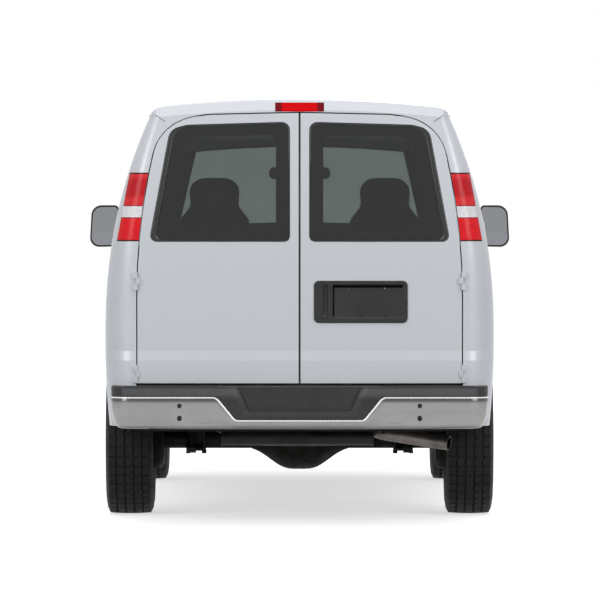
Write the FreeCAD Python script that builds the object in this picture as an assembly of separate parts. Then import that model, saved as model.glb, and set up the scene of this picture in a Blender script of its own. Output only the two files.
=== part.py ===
import FreeCAD, Part
import math
import os

from FreeCAD import Vector

os.makedirs("parts", exist_ok=True)

# Cargo van, millimetres. +Y is forwards, +X is the passenger's side, +Z is up.
# The origin is on the ground, midway between the two bumpers.

# Overall sizes
LENGTH = 5692.0
BODY_WIDTH = 2012.0
WHEELBASE = 3429.0
REAR_OVERHANG = 1328.0
TRACK = 1745.0
TYRE_RADIUS = 382.0
TYRE_WIDTH = 245.0
RIM_RADIUS = 203.0
BUMPER_REAR_Y = -LENGTH / 2
BUMPER_FRONT_Y = LENGTH / 2
REAR_AXLE_Y = BUMPER_REAR_Y + REAR_OVERHANG
FRONT_AXLE_Y = REAR_AXLE_Y + WHEELBASE
REAR_STEP_DEPTH = 165.0
REAR_FACE_Y = BUMPER_REAR_Y + REAR_STEP_DEPTH
WHEEL_X = TRACK / 2
AXLE_Z = TYRE_RADIUS

# Body shell
WALL = 60.0
SKIN = 12.0
BONNET_SKIN = 25.0
DOOR_GAP = 6.0
DOOR_EDGE_STEP = 14.0
SEAT_GAP = 0.3
MOVE_GAP = 6.0
GLASS_INSET = 3.0
GLASS = 6.0
SILL_Z = 420.0
BELT_Z = 950.0
TUMBLEHOME = 235.0
TUMBLEHOME_HEIGHT = 1100.0
TUMBLEHOME_POWER = 2.2
ROCKER_TUCK = 30.0
ROCKER_TUCK_HEIGHT = 500.0
REAR_TAPER = 0.968
FRONT_TAPER = 0.93
SIDE_EASE = 0.9945
REAR_RAKE = 85.0
REAR_RAKE_START_Z = 1200.0
REAR_RAKE_HEIGHT = 850.0
REAR_BOW = 10.0
REAR_SEAM_X = 810.0
REAR_SEAM_LEAN = 115.0
REAR_SEAM_LEAN_START_Z = 1150.0
REAR_SEAM_LEAN_HEIGHT = 850.0
REAR_CORNER_MARGIN = 14.0
FRONT_FACE_Y = 2775.0
NOSE_CORNER_X = 260.0
FRONT_BOW = 190.0
FRONT_BOW_X = 800.0
ROOF_CROWN = 51.0
REAR_SHOULDER = 10.0
SHOULDER_TOP_Z = 875.0
SHOULDER_LOW_Z = 828.0
ENVELOPE_LOW_Z = 360.0
ENVELOPE_HIGH_Z = 2240.0

# Rounded corners of the outer skin, as radii spread evenly along each corner
ROOF_CORNER_RADII = [62.0, 62.0, 62.0, 62.0, 62.0, 61.0, 54.0, 36.0]
PILLAR_CORNER_RADII = [36.0, 36.0, 36.0, 36.0, 36.0]
FENDER_CORNER_RADII = [40.0, 40.0, 40.0, 40.0]
NOSE_CORNER_RADII = [40.0, 40.0, 40.0, 40.0, 40.0]

# Roof, windscreen and bonnet line on the centre plane, as (y, z)
ROOF_LINE = [(-2560, 2128), (-1800, 2141), (-700, 2143), (300, 2122), (900, 2076), (1290, 2012)]
SCREEN_TOP = (1370.0, 1982.0)
SCREEN_BASE = (1980.0, 1392.0)
BONNET_LINE = [(2010, 1378), (2300, 1318), (2560, 1228), (2700, 1135)]
NOSE_Z = 1080.0

# Floor, frame and wheel wells
FLOOR_Z = 712.0
FLOOR_THICKNESS = 12.0
FIREWALL_Y = 1740.0
CAB_FLOOR_Y = 440.0
CAB_FLOOR_DROP = 4.0
RAIL_INNER_X = 430.0
RAIL_OUTER_X = 500.0
RAIL_BOTTOM_Z = 500.0
RAIL_TOP_Z = 620.0
RAIL_WALL = 7.0
ARCH_RADIUS = 448.0
ARCH_Z = 402.0
FRONT_WELL_X = 525.0
REAR_WELL_X = 700.0
WELL_WALL = 6.0
FRONT_WELL_LOW_Z = 532.0
REAR_WELL_LOW_Z = 520.0

# Doors and panel seams
FRONT_DOOR_FRONT_Y = 1400.0
FRONT_DOOR_REAR_Y = 470.0
SIDE_DOOR_FRONT_Y = 376.0
SIDE_DOOR_SPLIT_Y = -346.0
SIDE_DOOR_REAR_Y = -856.0
DOOR_BOTTOM_Z = 468.0
DOOR_TOP_Z = 1950.0
REAR_DOOR_BOTTOM_Z = 715.0
REAR_DOOR_TOP_Z = 2062.0
FENDER_SEAM_Y = 1440.0
FENDER_TOP_Z = 1290.0
COWL_Y = 1800.0
BONNET_REAR_Y = 2035.0
BUMPER_TOP_Z = 645.0
REAR_QUARTER_Z = 500.0

# Hinges: barrels of three parts on an axis just outside the skin
HINGE_R = 4.5
HINGE_SEGMENT = 30.0
HINGE_FACE_GAP = 0.3
HINGE_PLATE = 4.0
HINGE_REACH = 30.0
SIDE_AXIS_LEAN = 0.1
SIDE_AXIS_Z = 1253.0
HINGE_STANDOFF = 4.0
FRONT_HINGE_TAPER = 0.9813
SIDE_FRONT_HINGE_TAPER = 0.9938
SIDE_REAR_HINGE_TAPER = 1.0003
SIDE_HINGE_Z = [1050.0, 1460.0]
REAR_HINGE_Z = [762.0, 1225.0]
REAR_HINGE_STANDOFF = 17.0
REAR_HINGE_REACH = 16.0

# Steering
KINGPIN_X = 775.0
KNUCKLE_HALF = 115.0
DRIVER_X = -470.0

# Wheels
RIM_HALF = 95.0
WHEEL_OFFSET = 28.0
HUB_R = 62.0
STUD_CIRCLE_R = 82.55
STUD_HOLE_R = 7.5
HAND_HOLE_CIRCLE_R = 170.5
HAND_HOLE_R = 14.0


def save(name, shape):
    print(name, "solids", len(shape.Solids), "valid", shape.isValid(), "faces", len(shape.Faces),
          "litres", round(shape.Volume / 1e6, 2))
    shape.exportStep("parts/" + name + ".step")


def box(x0, x1, y0, y1, z0, z1):
    return Part.makeBox(x1 - x0, y1 - y0, z1 - z0, Vector(x0, y0, z0))


def cylinder(p0, p1, radius):
    start = Vector(*p0)
    run = Vector(*p1) - start
    return Part.makeCylinder(radius, run.Length, start, run)


def mirrored(shape):
    return shape.mirror(Vector(0, 0, 0), Vector(1, 0, 0))


def fused(shapes):
    return shapes[0].fuse(shapes[1:]) if len(shapes) > 1 else shapes[0]


def on_both_sides(shape):
    return Part.makeCompound([shape, mirrored(shape)])


def outline(points, radii, place):
    """A closed wire through 2-D points with rounded corners; place turns a 2-D point into a Vector."""
    count = len(points)
    radii = list(radii) if isinstance(radii, (list, tuple)) else [radii] * count
    starts, ends, middles = [], [], []
    for i, (px, py) in enumerate(points):
        ax, ay = points[i - 1]
        bx, by = points[(i + 1) % count]
        la = math.hypot(ax - px, ay - py)
        lb = math.hypot(bx - px, by - py)
        ua = ((ax - px) / la, (ay - py) / la)
        ub = ((bx - px) / lb, (by - py) / lb)
        half = math.acos(max(-1.0, min(1.0, ua[0] * ub[0] + ua[1] * ub[1]))) / 2
        if radii[i] <= 0 or half > math.radians(89):
            starts.append((px, py))
            ends.append((px, py))
            middles.append(None)
            continue
        back = radii[i] / math.tan(half)
        starts.append((px + ua[0] * back, py + ua[1] * back))
        ends.append((px + ub[0] * back, py + ub[1] * back))
        cx, cy = ua[0] + ub[0], ua[1] + ub[1]
        reach = (radii[i] / math.sin(half) - radii[i]) / math.hypot(cx, cy)
        middles.append((px + cx * reach, py + cy * reach))
    edges = []
    for i in range(count):
        if middles[i] is not None:
            edges.append(Part.Arc(place(starts[i]), place(middles[i]), place(ends[i])).toShape())
        following = starts[(i + 1) % count]
        if math.hypot(ends[i][0] - following[0], ends[i][1] - following[1]) > 1e-6:
            edges.append(Part.makeLine(place(ends[i]), place(following)))
    return Part.Wire(edges)


def prism_x(points, x0, x1, radii=0):
    wire = outline(points, radii, lambda p: Vector(x0, p[0], p[1]))
    return Part.Face(wire).extrude(Vector(x1 - x0, 0, 0))


def prism_y(points, y0, y1, radii=0):
    wire = outline(points, radii, lambda p: Vector(p[0], y0, p[1]))
    return Part.Face(wire).extrude(Vector(0, y1 - y0, 0))


def prism_z(points, z0, z1, radii=0):
    wire = outline(points, radii, lambda p: Vector(p[0], p[1], z0))
    return Part.Face(wire).extrude(Vector(0, 0, z1 - z0))


def grown(points, by):
    """The same polygon with each side moved outwards by a distance."""
    count = len(points)
    area = sum(points[i - 1][0] * points[i][1] - points[i][0] * points[i - 1][1] for i in range(count))
    sign = 1.0 if area > 0 else -1.0
    lines = []
    for i in range(count):
        ax, ay = points[i]
        bx, by_ = points[(i + 1) % count]
        length = math.hypot(bx - ax, by_ - ay)
        ux, uy = (bx - ax) / length, (by_ - ay) / length
        lines.append((ax + sign * uy * by, ay - sign * ux * by, ux, uy))
    result = []
    for i in range(count):
        x1, y1, dx1, dy1 = lines[i - 1]
        x2, y2, dx2, dy2 = lines[i]
        cross = dx1 * dy2 - dy1 * dx2
        along = ((x2 - x1) * dy2 - (y2 - y1) * dx2) / cross if abs(cross) > 1e-9 else 0.0
        corner = (x1 + dx1 * along, y1 + dy1 * along) if abs(cross) > 1e-9 else (x2, y2)
        result.append(corner)
    return result


def lathed_x(points, centre_y, centre_z):
    """A ring about an axle along X, from (x, radius) corners."""
    corners = [Vector(x, centre_y, centre_z + r) for x, r in points]
    face = Part.Face(Part.makePolygon(corners + [corners[0]]))
    return face.revolve(Vector(0, centre_y, centre_z), Vector(1, 0, 0), 360)


# Body envelope: the outer skin as one solid, which can be pulled in by any wall thickness

def half_width(z):
    if z > BELT_Z:
        return BODY_WIDTH / 2 - TUMBLEHOME * ((z - BELT_Z) / TUMBLEHOME_HEIGHT) ** TUMBLEHOME_POWER
    return BODY_WIDTH / 2 - ROCKER_TUCK * ((BELT_Z - z) / ROCKER_TUCK_HEIGHT) ** 2


def rear_rake(z):
    return REAR_RAKE * (max(0.0, z - REAR_RAKE_START_Z) / REAR_RAKE_HEIGHT) ** 2


def rear_seam(z):
    return REAR_SEAM_X - REAR_SEAM_LEAN * (max(0.0, z - REAR_SEAM_LEAN_START_Z) / REAR_SEAM_LEAN_HEIGHT) ** 2


def plan_section(z, inset, outset=0.0):
    """One level of the body's plan, pulled in by an inset; an outset moves its rear face back."""
    width = half_width(z) * SIDE_EASE - inset
    rear_width = half_width(z) * REAR_TAPER - inset
    front_width = half_width(z) * FRONT_TAPER - inset
    corner = rear_seam(z) + REAR_CORNER_MARGIN - inset * 0.35
    rear_y = REAR_FACE_Y + rear_rake(z) + inset - outset
    front_y = FRONT_FACE_Y - inset
    across = rear_width - corner
    along = across * 1.15
    nose_x = front_width - NOSE_CORNER_X
    k = math.sqrt(0.5)

    rear = Part.Arc(Vector(-corner, rear_y + REAR_BOW, z), Vector(0, rear_y, z),
                    Vector(corner, rear_y + REAR_BOW, z)).toShape()
    nose = Part.Arc(Vector(nose_x, front_y - 40, z), Vector(0, front_y, z),
                    Vector(-nose_x, front_y - 40, z)).toShape()
    rear_corner = Part.BSplineCurve()
    rear_corner.interpolate(
        Points=[Vector(corner, rear_y + REAR_BOW, z),
                Vector(corner + across * k, rear_y + REAR_BOW + along * (1 - k), z),
                Vector(rear_width, rear_y + REAR_BOW + along, z)],
        InitialTangent=Vector(1, 0.03, 0), FinalTangent=Vector(0.03, 1, 0))
    side = Part.BSplineCurve()
    side.interpolate(
        Points=[Vector(rear_width, rear_y + REAR_BOW + along, z), Vector(width, REAR_AXLE_Y + 120, z),
                Vector(width, 300, z), Vector(width * 0.985, 1500, z), Vector(front_width, 2450 - inset, z)],
        InitialTangent=Vector(0.03, 1, 0), FinalTangent=Vector(-0.14, 1, 0))
    nose_corner = Part.BSplineCurve()
    nose_corner.interpolate(
        Points=[Vector(front_width, 2450 - inset, z), Vector(front_width - 78, front_y - 125, z),
                Vector(nose_x, front_y - 40, z)],
        InitialTangent=Vector(-0.14, 1, 0), FinalTangent=Vector(-1, 0.119, 0))
    right = [rear_corner.toShape(), side.toShape(), nose_corner.toShape()]
    left = [mirrored(edge) for edge in right]
    return Part.Wire(Part.__sortEdges__([rear, nose] + right + left))


def plan_loft(low, high, count, inset, outset=0.0):
    step = (high - low) / (count - 1)
    return Part.makeLoft([plan_section(low + i * step, inset, outset) for i in range(count)], True, False)


def plan_solid(inset):
    return plan_loft(ENVELOPE_LOW_Z, ENVELOPE_HIGH_Z, 13, inset)


def lower_plan(inset):
    """The part of the plan below the shoulder that runs across the rear doors."""
    return plan_loft(ENVELOPE_LOW_Z, SHOULDER_LOW_Z, 4, inset, REAR_SHOULDER)


def shouldered_plan(inset):
    upper = plan_loft(SHOULDER_TOP_Z, ENVELOPE_HIGH_Z, 10, inset)
    ramp = Part.makeLoft([plan_section(SHOULDER_LOW_Z, inset, REAR_SHOULDER), plan_section(SHOULDER_TOP_Z, inset)],
                         True, True)
    return upper.fuse([ramp, lower_plan(inset)])


def profile_section(x, inset, bottom):
    """The roof, windscreen and bonnet line at one distance from the centre plane."""
    bow = FRONT_BOW * (x / FRONT_BOW_X) ** 2
    drop = ROOF_CROWN * (x / FRONT_BOW_X) ** 2
    slope = math.atan2(SCREEN_TOP[1] - SCREEN_BASE[1], SCREEN_BASE[0] - SCREEN_TOP[0])
    back, down = inset * math.sin(slope), inset * math.cos(slope)

    def at(y, z):
        return Vector(x, y, z)

    roof_points = [at(y, z - drop - inset) for y, z in ROOF_LINE]
    screen_top = at(SCREEN_TOP[0] - bow * 0.6 - back, SCREEN_TOP[1] - drop - down)
    screen_base = at(SCREEN_BASE[0] - bow - back, SCREEN_BASE[1] - drop - down)
    bonnet_points = [at(y - bow * (0.8 - 0.5 * i / len(BONNET_LINE)), z - drop * 1.2 - inset)
                     for i, (y, z) in enumerate(BONNET_LINE)]
    rear_low = at(-3100, bottom)
    rear_mid = at(-3100, REAR_DOOR_TOP_Z - 200)
    reach = REAR_FACE_Y + rear_rake(REAR_DOOR_TOP_Z) + inset
    low_edge = REAR_DOOR_TOP_Z - drop - inset
    header = Part.BSplineCurve()
    header.interpolate(
        Points=[rear_mid, at(-2760, low_edge - 30), at(reach + 2, low_edge + 14),
                at(reach + 22, low_edge + 47), roof_points[0]],
        FinalTangent=Vector(0, 1, 0.04))
    roof = Part.BSplineCurve()
    roof.interpolate(Points=roof_points, InitialTangent=Vector(0, 1, 0.04))
    bonnet = Part.BSplineCurve()
    bonnet.interpolate(Points=bonnet_points)
    nose_top = at(3000, NOSE_Z - drop - inset)
    nose_low = at(3000, bottom)
    edges = [Part.makeLine(rear_low, rear_mid), header.toShape(), roof.toShape(),
             Part.Arc(roof_points[-1], (roof_points[-1] + screen_top) * 0.5 + Vector(0, 2, 3), screen_top).toShape(),
             Part.Arc(screen_top, (screen_top + screen_base) * 0.5 + Vector(0, 6, 6), screen_base).toShape(),
             Part.makeLine(screen_base, bonnet_points[0]), bonnet.toShape(),
             Part.makeLine(bonnet_points[-1], nose_top), Part.makeLine(nose_top, nose_low),
             Part.makeLine(nose_low, rear_low)]
    return Part.Wire(edges)


def profile_solid(inset, bottom):
    stations = [-1100.0, -733.0, -367.0, 0.0, 367.0, 733.0, 1100.0]
    return Part.makeLoft([profile_section(x, inset, bottom) for x in stations], True, False)


def envelope(inset, bottom=300.0):
    return plan_solid(inset).common(profile_solid(inset, bottom))


def edge_nearest(solid, mark):
    """The edge of a solid that passes closest to a point."""
    spot = Part.Vertex(Vector(*mark))
    return min(solid.Edges, key=lambda edge: edge.distToShape(spot)[0])


def rounding_section(faces, point, along, radius):
    """A closed wire across one corner: an arc that meets both faces, closed outside them."""
    normals = []
    for face in faces:
        normal = face.normalAt(*face.Surface.parameter(point))
        normals.append((normal - along * normal.dot(along)).normalize())
    outwards = (normals[0] + normals[1]).normalize()
    spread = math.acos(max(-1.0, min(1.0, normals[0].dot(normals[1]))))
    centre = point - outwards * (radius / math.cos(spread / 2) + 1.0)
    turn = spread / 2 + math.radians(16)
    side = along.cross(outwards).normalize()
    arc = [centre + (outwards * math.cos(a) + side * math.sin(a)) * radius for a in (-turn, 0.0, turn)]
    far = point + outwards * 60
    return Part.Wire([Part.Arc(*arc).toShape(), Part.makeLine(arc[2], far), Part.makeLine(far, arc[0])])


def rounding_cutter(solid, mark, radii, past_start, past_end, plane=None):
    """What rounding takes off one corner, from its rear end forwards and some way past both ends."""
    edge = edge_nearest(solid, mark)
    faces = [face for face in solid.Faces if any(other.isSame(edge) for other in face.Edges)]
    ends = (edge.valueAt(edge.FirstParameter).y, edge.valueAt(edge.LastParameter).y)
    forwards = 1 if ends[1] >= ends[0] else -1
    sections, directions = [], []
    for i, radius in enumerate(radii):
        share = i / (len(radii) - 1)
        reach = share if forwards > 0 else 1 - share
        parameter = edge.getParameterByLength(edge.Length * reach)
        along = plane if plane else edge.tangentAt(parameter) * forwards
        directions.append(along)
        sections.append(rounding_section(faces, edge.valueAt(parameter), along, radius))
    if past_start > 0:
        sections.insert(0, sections[0].translated(directions[0] * -past_start))
    if past_end > 0:
        sections.append(sections[-1].translated(directions[-1] * past_end))
    return Part.makeLoft(sections, True, False)


def corner_mark(y, z):
    """A point near the side's corner at one level."""
    return (half_width(z) * SIDE_EASE, y, z)


def rounded_corners(solid, shrink):
    """The envelope with its roof, pillar, fender and nose corners rounded; inner skins use smaller radii."""
    roof = rounding_cutter(solid, corner_mark(-600, 2095), [r - shrink for r in ROOF_CORNER_RADII], 260, 0,
                           Vector(0, 1, 0))
    pillar = rounding_cutter(solid, corner_mark(1480, 1640), [r - shrink for r in PILLAR_CORNER_RADII], 45, 45)
    fender = rounding_cutter(solid, corner_mark(2120, 1230), [r - shrink for r in FENDER_CORNER_RADII], 70, 120)
    nose = rounding_cutter(solid, (0, FRONT_FACE_Y, NOSE_Z), [r - shrink for r in NOSE_CORNER_RADII], 260, 260)
    return solid.cut([roof, mirrored(roof), pillar, mirrored(pillar), fender, mirrored(fender), nose])


OUTER = rounded_corners(shouldered_plan(0.0).common(profile_solid(0.0, SILL_Z)), 0.0)
UNDER_SKIN = rounded_corners(envelope(SKIN), SKIN)
UNDER_BONNET = envelope(BONNET_SKIN)
GLASS_OUTER = envelope(GLASS_INSET)
GLASS_INNER = envelope(GLASS_INSET + GLASS)
INNER = envelope(WALL)
SHELL = OUTER.cut(INNER)
TRIM_CLOSE = envelope(WALL + SEAT_GAP)
TRIM_CLEAR = envelope(WALL + MOVE_GAP)


# Panel outlines: side ones as (y, z), rear ones as (x, z), bonnet as (x, y)

FRONT_DOOR = [(FRONT_DOOR_REAR_Y, DOOR_BOTTOM_Z), (FRONT_DOOR_FRONT_Y, DOOR_BOTTOM_Z),
              (FRONT_DOOR_FRONT_Y, 1655), (1160, DOOR_TOP_Z), (FRONT_DOOR_REAR_Y, DOOR_TOP_Z)]
FRONT_DOOR_WINDOW = [(548, 1345), (1328, 1345), (1328, 1632), (1122, 1885), (548, 1885)]
QUARTER_WINDOW = [(1464, 1352), (1655, 1352), (1464, 1585)]
SIDE_DOOR_A = [(SIDE_DOOR_SPLIT_Y + DOOR_GAP / 2, DOOR_BOTTOM_Z), (SIDE_DOOR_FRONT_Y, DOOR_BOTTOM_Z),
               (SIDE_DOOR_FRONT_Y, DOOR_TOP_Z), (SIDE_DOOR_SPLIT_Y + DOOR_GAP / 2, DOOR_TOP_Z)]
SIDE_DOOR_B = [(SIDE_DOOR_REAR_Y, DOOR_BOTTOM_Z), (SIDE_DOOR_SPLIT_Y - DOOR_GAP / 2, DOOR_BOTTOM_Z),
               (SIDE_DOOR_SPLIT_Y - DOOR_GAP / 2, DOOR_TOP_Z), (SIDE_DOOR_REAR_Y, DOOR_TOP_Z)]
SIDE_OPENING = [(SIDE_DOOR_REAR_Y, DOOR_BOTTOM_Z), (SIDE_DOOR_FRONT_Y, DOOR_BOTTOM_Z),
                (SIDE_DOOR_FRONT_Y, DOOR_TOP_Z), (SIDE_DOOR_REAR_Y, DOOR_TOP_Z)]
REAR_DOOR_EDGE = [(rear_seam(z) - 1.5, z) for z in (REAR_SEAM_LEAN_START_Z, 1300, 1450, 1600, 1750, 1860)]
REAR_DOOR_TOP = [(700, 1962), (652, 2016), (596, 2032), (450, 2052)]
REAR_DOOR = ([(5, REAR_DOOR_BOTTOM_Z), (REAR_SEAM_X - 1.5, REAR_DOOR_BOTTOM_Z)] + REAR_DOOR_EDGE
             + REAR_DOOR_TOP + [(5, REAR_DOOR_TOP_Z)])
REAR_OPENING_LOW_Z = 380.0
REAR_OPENING = ([(-20, REAR_OPENING_LOW_Z), (REAR_SEAM_X - 1.5, REAR_OPENING_LOW_Z)] + REAR_DOOR_EDGE
                + REAR_DOOR_TOP + [(5, REAR_DOOR_TOP_Z), (-20, REAR_DOOR_TOP_Z)])
REAR_WINDOW = [(48, 1420), (738, 1420), (634, 1985), (560, 2003), (48, 2018)]
TAIL_LAMP = [(730, 1764), (849, 1764), (912, 1422), (775, 1422)]
LAMP_GAP = 0.5
BONNET = [(-735, BONNET_REAR_Y), (735, BONNET_REAR_Y), (650, 2600), (560, 2665), (-560, 2665), (-650, 2600)]
ROOF_REGION = [(-3000, 2050), (-2600, 2054), (-1800, 2067), (-700, 2069), (300, 2048), (900, 2002),
               (1170, 1966), (1215, 1895), (1500, 1800), (1700, 1800), (1700, 2400), (-3000, 2400)]
HIGH_LAMP = [(-122, 2069), (122, 2069), (122, 2114), (-122, 2114)]
GRILLE = [(-560, 720), (560, 720), (560, 1010), (-560, 1010)]
HEADLAMP = [(580, 790), (900, 810), (900, 985), (580, 1005)]
PLATE_BEZEL = [(71, 1015), (539, 1015), (539, 1226), (71, 1226)]
PLATE_RECESS = [(158, 1037), (519, 1037), (519, 1210), (158, 1210)]
HANDLE_RECESS = [(84, 1062), (138, 1062), (138, 1208), (84, 1208)]
PLATE_HOLES = (338.5, 1123.5, 177.8, 120.65, 3.2)
ROOF_HOLES = (0.0, -1000.0, 1200.0, 2400.0, 4.25)
FUEL_LID = [(205, 925), (370, 925), (370, 1090), (205, 1090)]


def screen_prism(shrink):
    """The windscreen opening, drawn square to the glass, with curved top and bottom edges."""
    mid_y = (SCREEN_TOP[0] + SCREEN_BASE[0]) / 2
    mid_z = (SCREEN_TOP[1] + SCREEN_BASE[1]) / 2
    run_y, run_z = SCREEN_TOP[0] - SCREEN_BASE[0], SCREEN_TOP[1] - SCREEN_BASE[1]
    length = math.hypot(run_y, run_z)
    up = (run_y / length, run_z / length)
    normal = Vector(0, up[1], -up[0])

    def at(u, v):
        return Vector(u, mid_y + up[0] * v, mid_z + up[1] * v) - normal * 400

    low, high = -384 + shrink, 389 - shrink
    low_side, high_side = -291 + shrink, 412 - shrink
    low_x, high_x = 765 - shrink, 655 - shrink
    edges = [Part.Arc(at(-low_x, low_side), at(0, low), at(low_x, low_side)).toShape(),
             Part.makeLine(at(low_x, low_side), at(high_x, high_side)),
             Part.Arc(at(high_x, high_side), at(0, high), at(-high_x, high_side)).toShape(),
             Part.makeLine(at(-high_x, high_side), at(-low_x, low_side))]
    return Part.Face(Part.Wire(edges)).extrude(normal * 900)


def glass_in(prism):
    return GLASS_OUTER.common(prism).cut(GLASS_INNER)


def door_panel(prism, narrower, wider):
    """A hollow-walled door: the skin runs to the outline, the inner part stops short of it."""
    whole = SHELL.common(prism)
    rim = UNDER_SKIN.common(wider.cut(narrower))
    return whole.cut(rim)


def side_panel(points, x0, x1, radii=0):
    return door_panel(prism_x(points, x0, x1, radii), prism_x(grown(points, -DOOR_EDGE_STEP), x0, x1, radii),
                      prism_x(grown(points, 20), x0, x1))


# Hinges

def hinge_part(axis_point, axis, towards, outwards, low, high, standoff, reach):
    """One barrel segment with a plate over the gap and a foot sunk into the panel."""
    axis_point, axis = Vector(*axis_point), Vector(*axis).normalize()
    towards, outwards = Vector(*towards).normalize(), Vector(*outwards).normalize()
    barrel = Part.makeCylinder(HINGE_R, high - low, axis_point + axis * low, axis)

    def block(t0, t1, n0, n1):
        corners = [axis_point + axis * low + towards * t + outwards * n
                   for t, n in ((t0, n0), (t1, n0), (t1, n1), (t0, n1))]
        return Part.Face(Part.makePolygon(corners + [corners[0]])).extrude(axis * (high - low))

    plate = block(0, reach, -HINGE_PLATE / 2, HINGE_PLATE / 2)
    foot = block(reach / 3, reach, -standoff - 6, 0)
    return barrel.fuse([plate, foot])


def hinge_pair(axis_point, axis, door_side, outwards, standoff, reach=HINGE_REACH):
    """Body parts above and below, the door's part between them."""
    body_side = [-c for c in door_side]
    half = HINGE_SEGMENT / 2
    body = [hinge_part(axis_point, axis, body_side, outwards, half, half + HINGE_SEGMENT, standoff, reach),
            hinge_part(axis_point, axis, body_side, outwards, -half - HINGE_SEGMENT, -half, standoff, reach)]
    door = hinge_part(axis_point, axis, door_side, outwards, -half + HINGE_FACE_GAP, half - HINGE_FACE_GAP, standoff,
                      reach)
    return body, door


def side_hinge(axis_y, taper, z, door_side_y):
    """A hinge on the leaning axis that touches the side's widest line; taper is the width there."""
    x = half_width(SIDE_AXIS_Z) * taper + HINGE_STANDOFF - SIDE_AXIS_LEAN * (z - SIDE_AXIS_Z)
    return hinge_pair((x, axis_y, z), (-SIDE_AXIS_LEAN, 0, 1), (0, door_side_y, 0), (1, 0, SIDE_AXIS_LEAN),
                      x - half_width(z) * taper)


# Body shell and the panels it is split into

def arch(x0, x1, axle_y, radius):
    return cylinder((x0, axle_y, ARCH_Z), (x1, axle_y, ARCH_Z), radius)


def body_shell():
    door = prism_x(grown(FRONT_DOOR, DOOR_GAP), 600, 1200, 22)
    lamp = prism_y(grown(TAIL_LAMP, LAMP_GAP), -2800, -2480)
    rear = prism_y(grown(REAR_OPENING, DOOR_GAP), -2900, -2400)
    quarter = prism_x(QUARTER_WINDOW, 600, 1200, 22)
    cuts = [door, mirrored(door), prism_x(grown(SIDE_OPENING, DOOR_GAP), 600, 1200, 22), rear, mirrored(rear),
            quarter, mirrored(quarter), screen_prism(0),
            arch(-1200, 1200, FRONT_AXLE_Y, ARCH_RADIUS), arch(-1200, 1200, REAR_AXLE_Y, ARCH_RADIUS),
            box(-1200, 1200, -3000, REAR_AXLE_Y, 300, REAR_QUARTER_Z),
            box(-1200, 1200, FRONT_AXLE_Y, 3200, 300, BUMPER_TOP_Z),
            prism_z(grown(BONNET, DOOR_GAP), 900, 1600, 60),
            prism_y(grown(HIGH_LAMP, LAMP_GAP), -2800, -2540),
            prism_y(grown(GRILLE, LAMP_GAP), 2500, 3000),
            prism_x(grown(FUEL_LID, 4), -1200, -(half_width(1000) - 30), 18)]
    shell = SHELL.cut(cuts)
    lamps = [shell.common(prism_y(TAIL_LAMP, -2800, -2480))]
    lamps.append(shell.common(mirrored(prism_y(TAIL_LAMP, -2800, -2480))))
    head = shell.common(prism_y(HEADLAMP, 2400, 3000, 14))
    head_left = shell.common(mirrored(prism_y(HEADLAMP, 2400, 3000, 14)))
    hole = prism_y(grown(HEADLAMP, LAMP_GAP), 2400, 3000, 14)
    shell = shell.cut([lamp, mirrored(lamp), hole, mirrored(hole)])
    return shell, Part.makeCompound(lamps), Part.makeCompound([head, head_left])


def main_panels(shell):
    roof_zone = prism_x(ROOF_REGION, -1200, 1200)
    front_zone = box(-1200, 1200, FENDER_SEAM_Y, 3200, 200, FENDER_TOP_Z).fuse(
        box(-1200, 1200, BONNET_REAR_Y, 3200, 200, 1700))
    cowl_zone = box(-1200, 1200, COWL_Y, BONNET_REAR_Y, FENDER_TOP_Z, 1700)
    roof = shell.common(roof_zone)
    lower = shell.cut(roof_zone)
    clip = lower.common(front_zone)
    cowl = lower.common(cowl_zone)
    sides = lower.cut([front_zone, cowl_zone])
    right = sides.common(box(0, 1300, -3200, 3200, 200, 2400))
    left = sides.common(box(-1300, 0, -3200, 3200, 200, 2400))
    return roof, clip, cowl, left, right


# Floor, firewall and inner wheel arches

def wheel_well(axle_y, inner_x, low_z, limit):
    wall = arch(inner_x - WELL_WALL, 1000, axle_y, ARCH_RADIUS + WELL_WALL)
    hollow = arch(inner_x, 1100, axle_y, ARCH_RADIUS)
    return wall.cut([hollow, box(0, 1300, axle_y - 600, axle_y + 600, -200, low_z)]).common(limit)


def floor_pan():
    slab = box(-1200, 1200, -2800, FIREWALL_Y, FLOOR_Z - FLOOR_THICKNESS, FLOOR_Z)
    door_zone = [box(600, 1200, FRONT_DOOR_REAR_Y - 14, FRONT_DOOR_FRONT_Y + 14, 600, 800),
                 box(-1200, -600, FRONT_DOOR_REAR_Y - 14, FRONT_DOOR_FRONT_Y + 14, 600, 800),
                 box(600, 1200, SIDE_DOOR_REAR_Y - 14, SIDE_DOOR_FRONT_Y + 14, 600, 800)]
    moving_edge = fused(door_zone).cut(TRIM_CLEAR)
    cab_drop = box(-1200, 1200, CAB_FLOOR_Y, FIREWALL_Y + 10, FLOOR_Z - CAB_FLOOR_DROP, FLOOR_Z + 10)
    floor = TRIM_CLOSE.common(slab).cut([moving_edge, cab_drop])
    sill = box(-808, 808, REAR_FACE_Y + 14, REAR_FACE_Y + 130, 505, FLOOR_Z - 6)
    hollow = box(-790, 790, REAR_FACE_Y + 30, REAR_FACE_Y + 200, 490, FLOOR_Z - FLOOR_THICKNESS)
    passage = box(RAIL_INNER_X - 6, RAIL_OUTER_X + 6, REAR_FACE_Y, REAR_FACE_Y + 60, 514, 606)
    floor = floor.fuse(sill.cut([hollow, passage, mirrored(passage)]))
    rear_well = wheel_well(REAR_AXLE_Y, REAR_WELL_X, REAR_WELL_LOW_Z, TRIM_CLOSE)
    front_void = arch(FRONT_WELL_X - WELL_WALL - SEAT_GAP, 1300, FRONT_AXLE_Y, ARCH_RADIUS + WELL_WALL + SEAT_GAP)
    rear_void = arch(REAR_WELL_X, 1300, REAR_AXLE_Y, ARCH_RADIUS)
    floor = floor.cut([front_void, mirrored(front_void), rear_void, mirrored(rear_void)])
    return floor.fuse([rear_well, mirrored(rear_well)])


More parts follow.
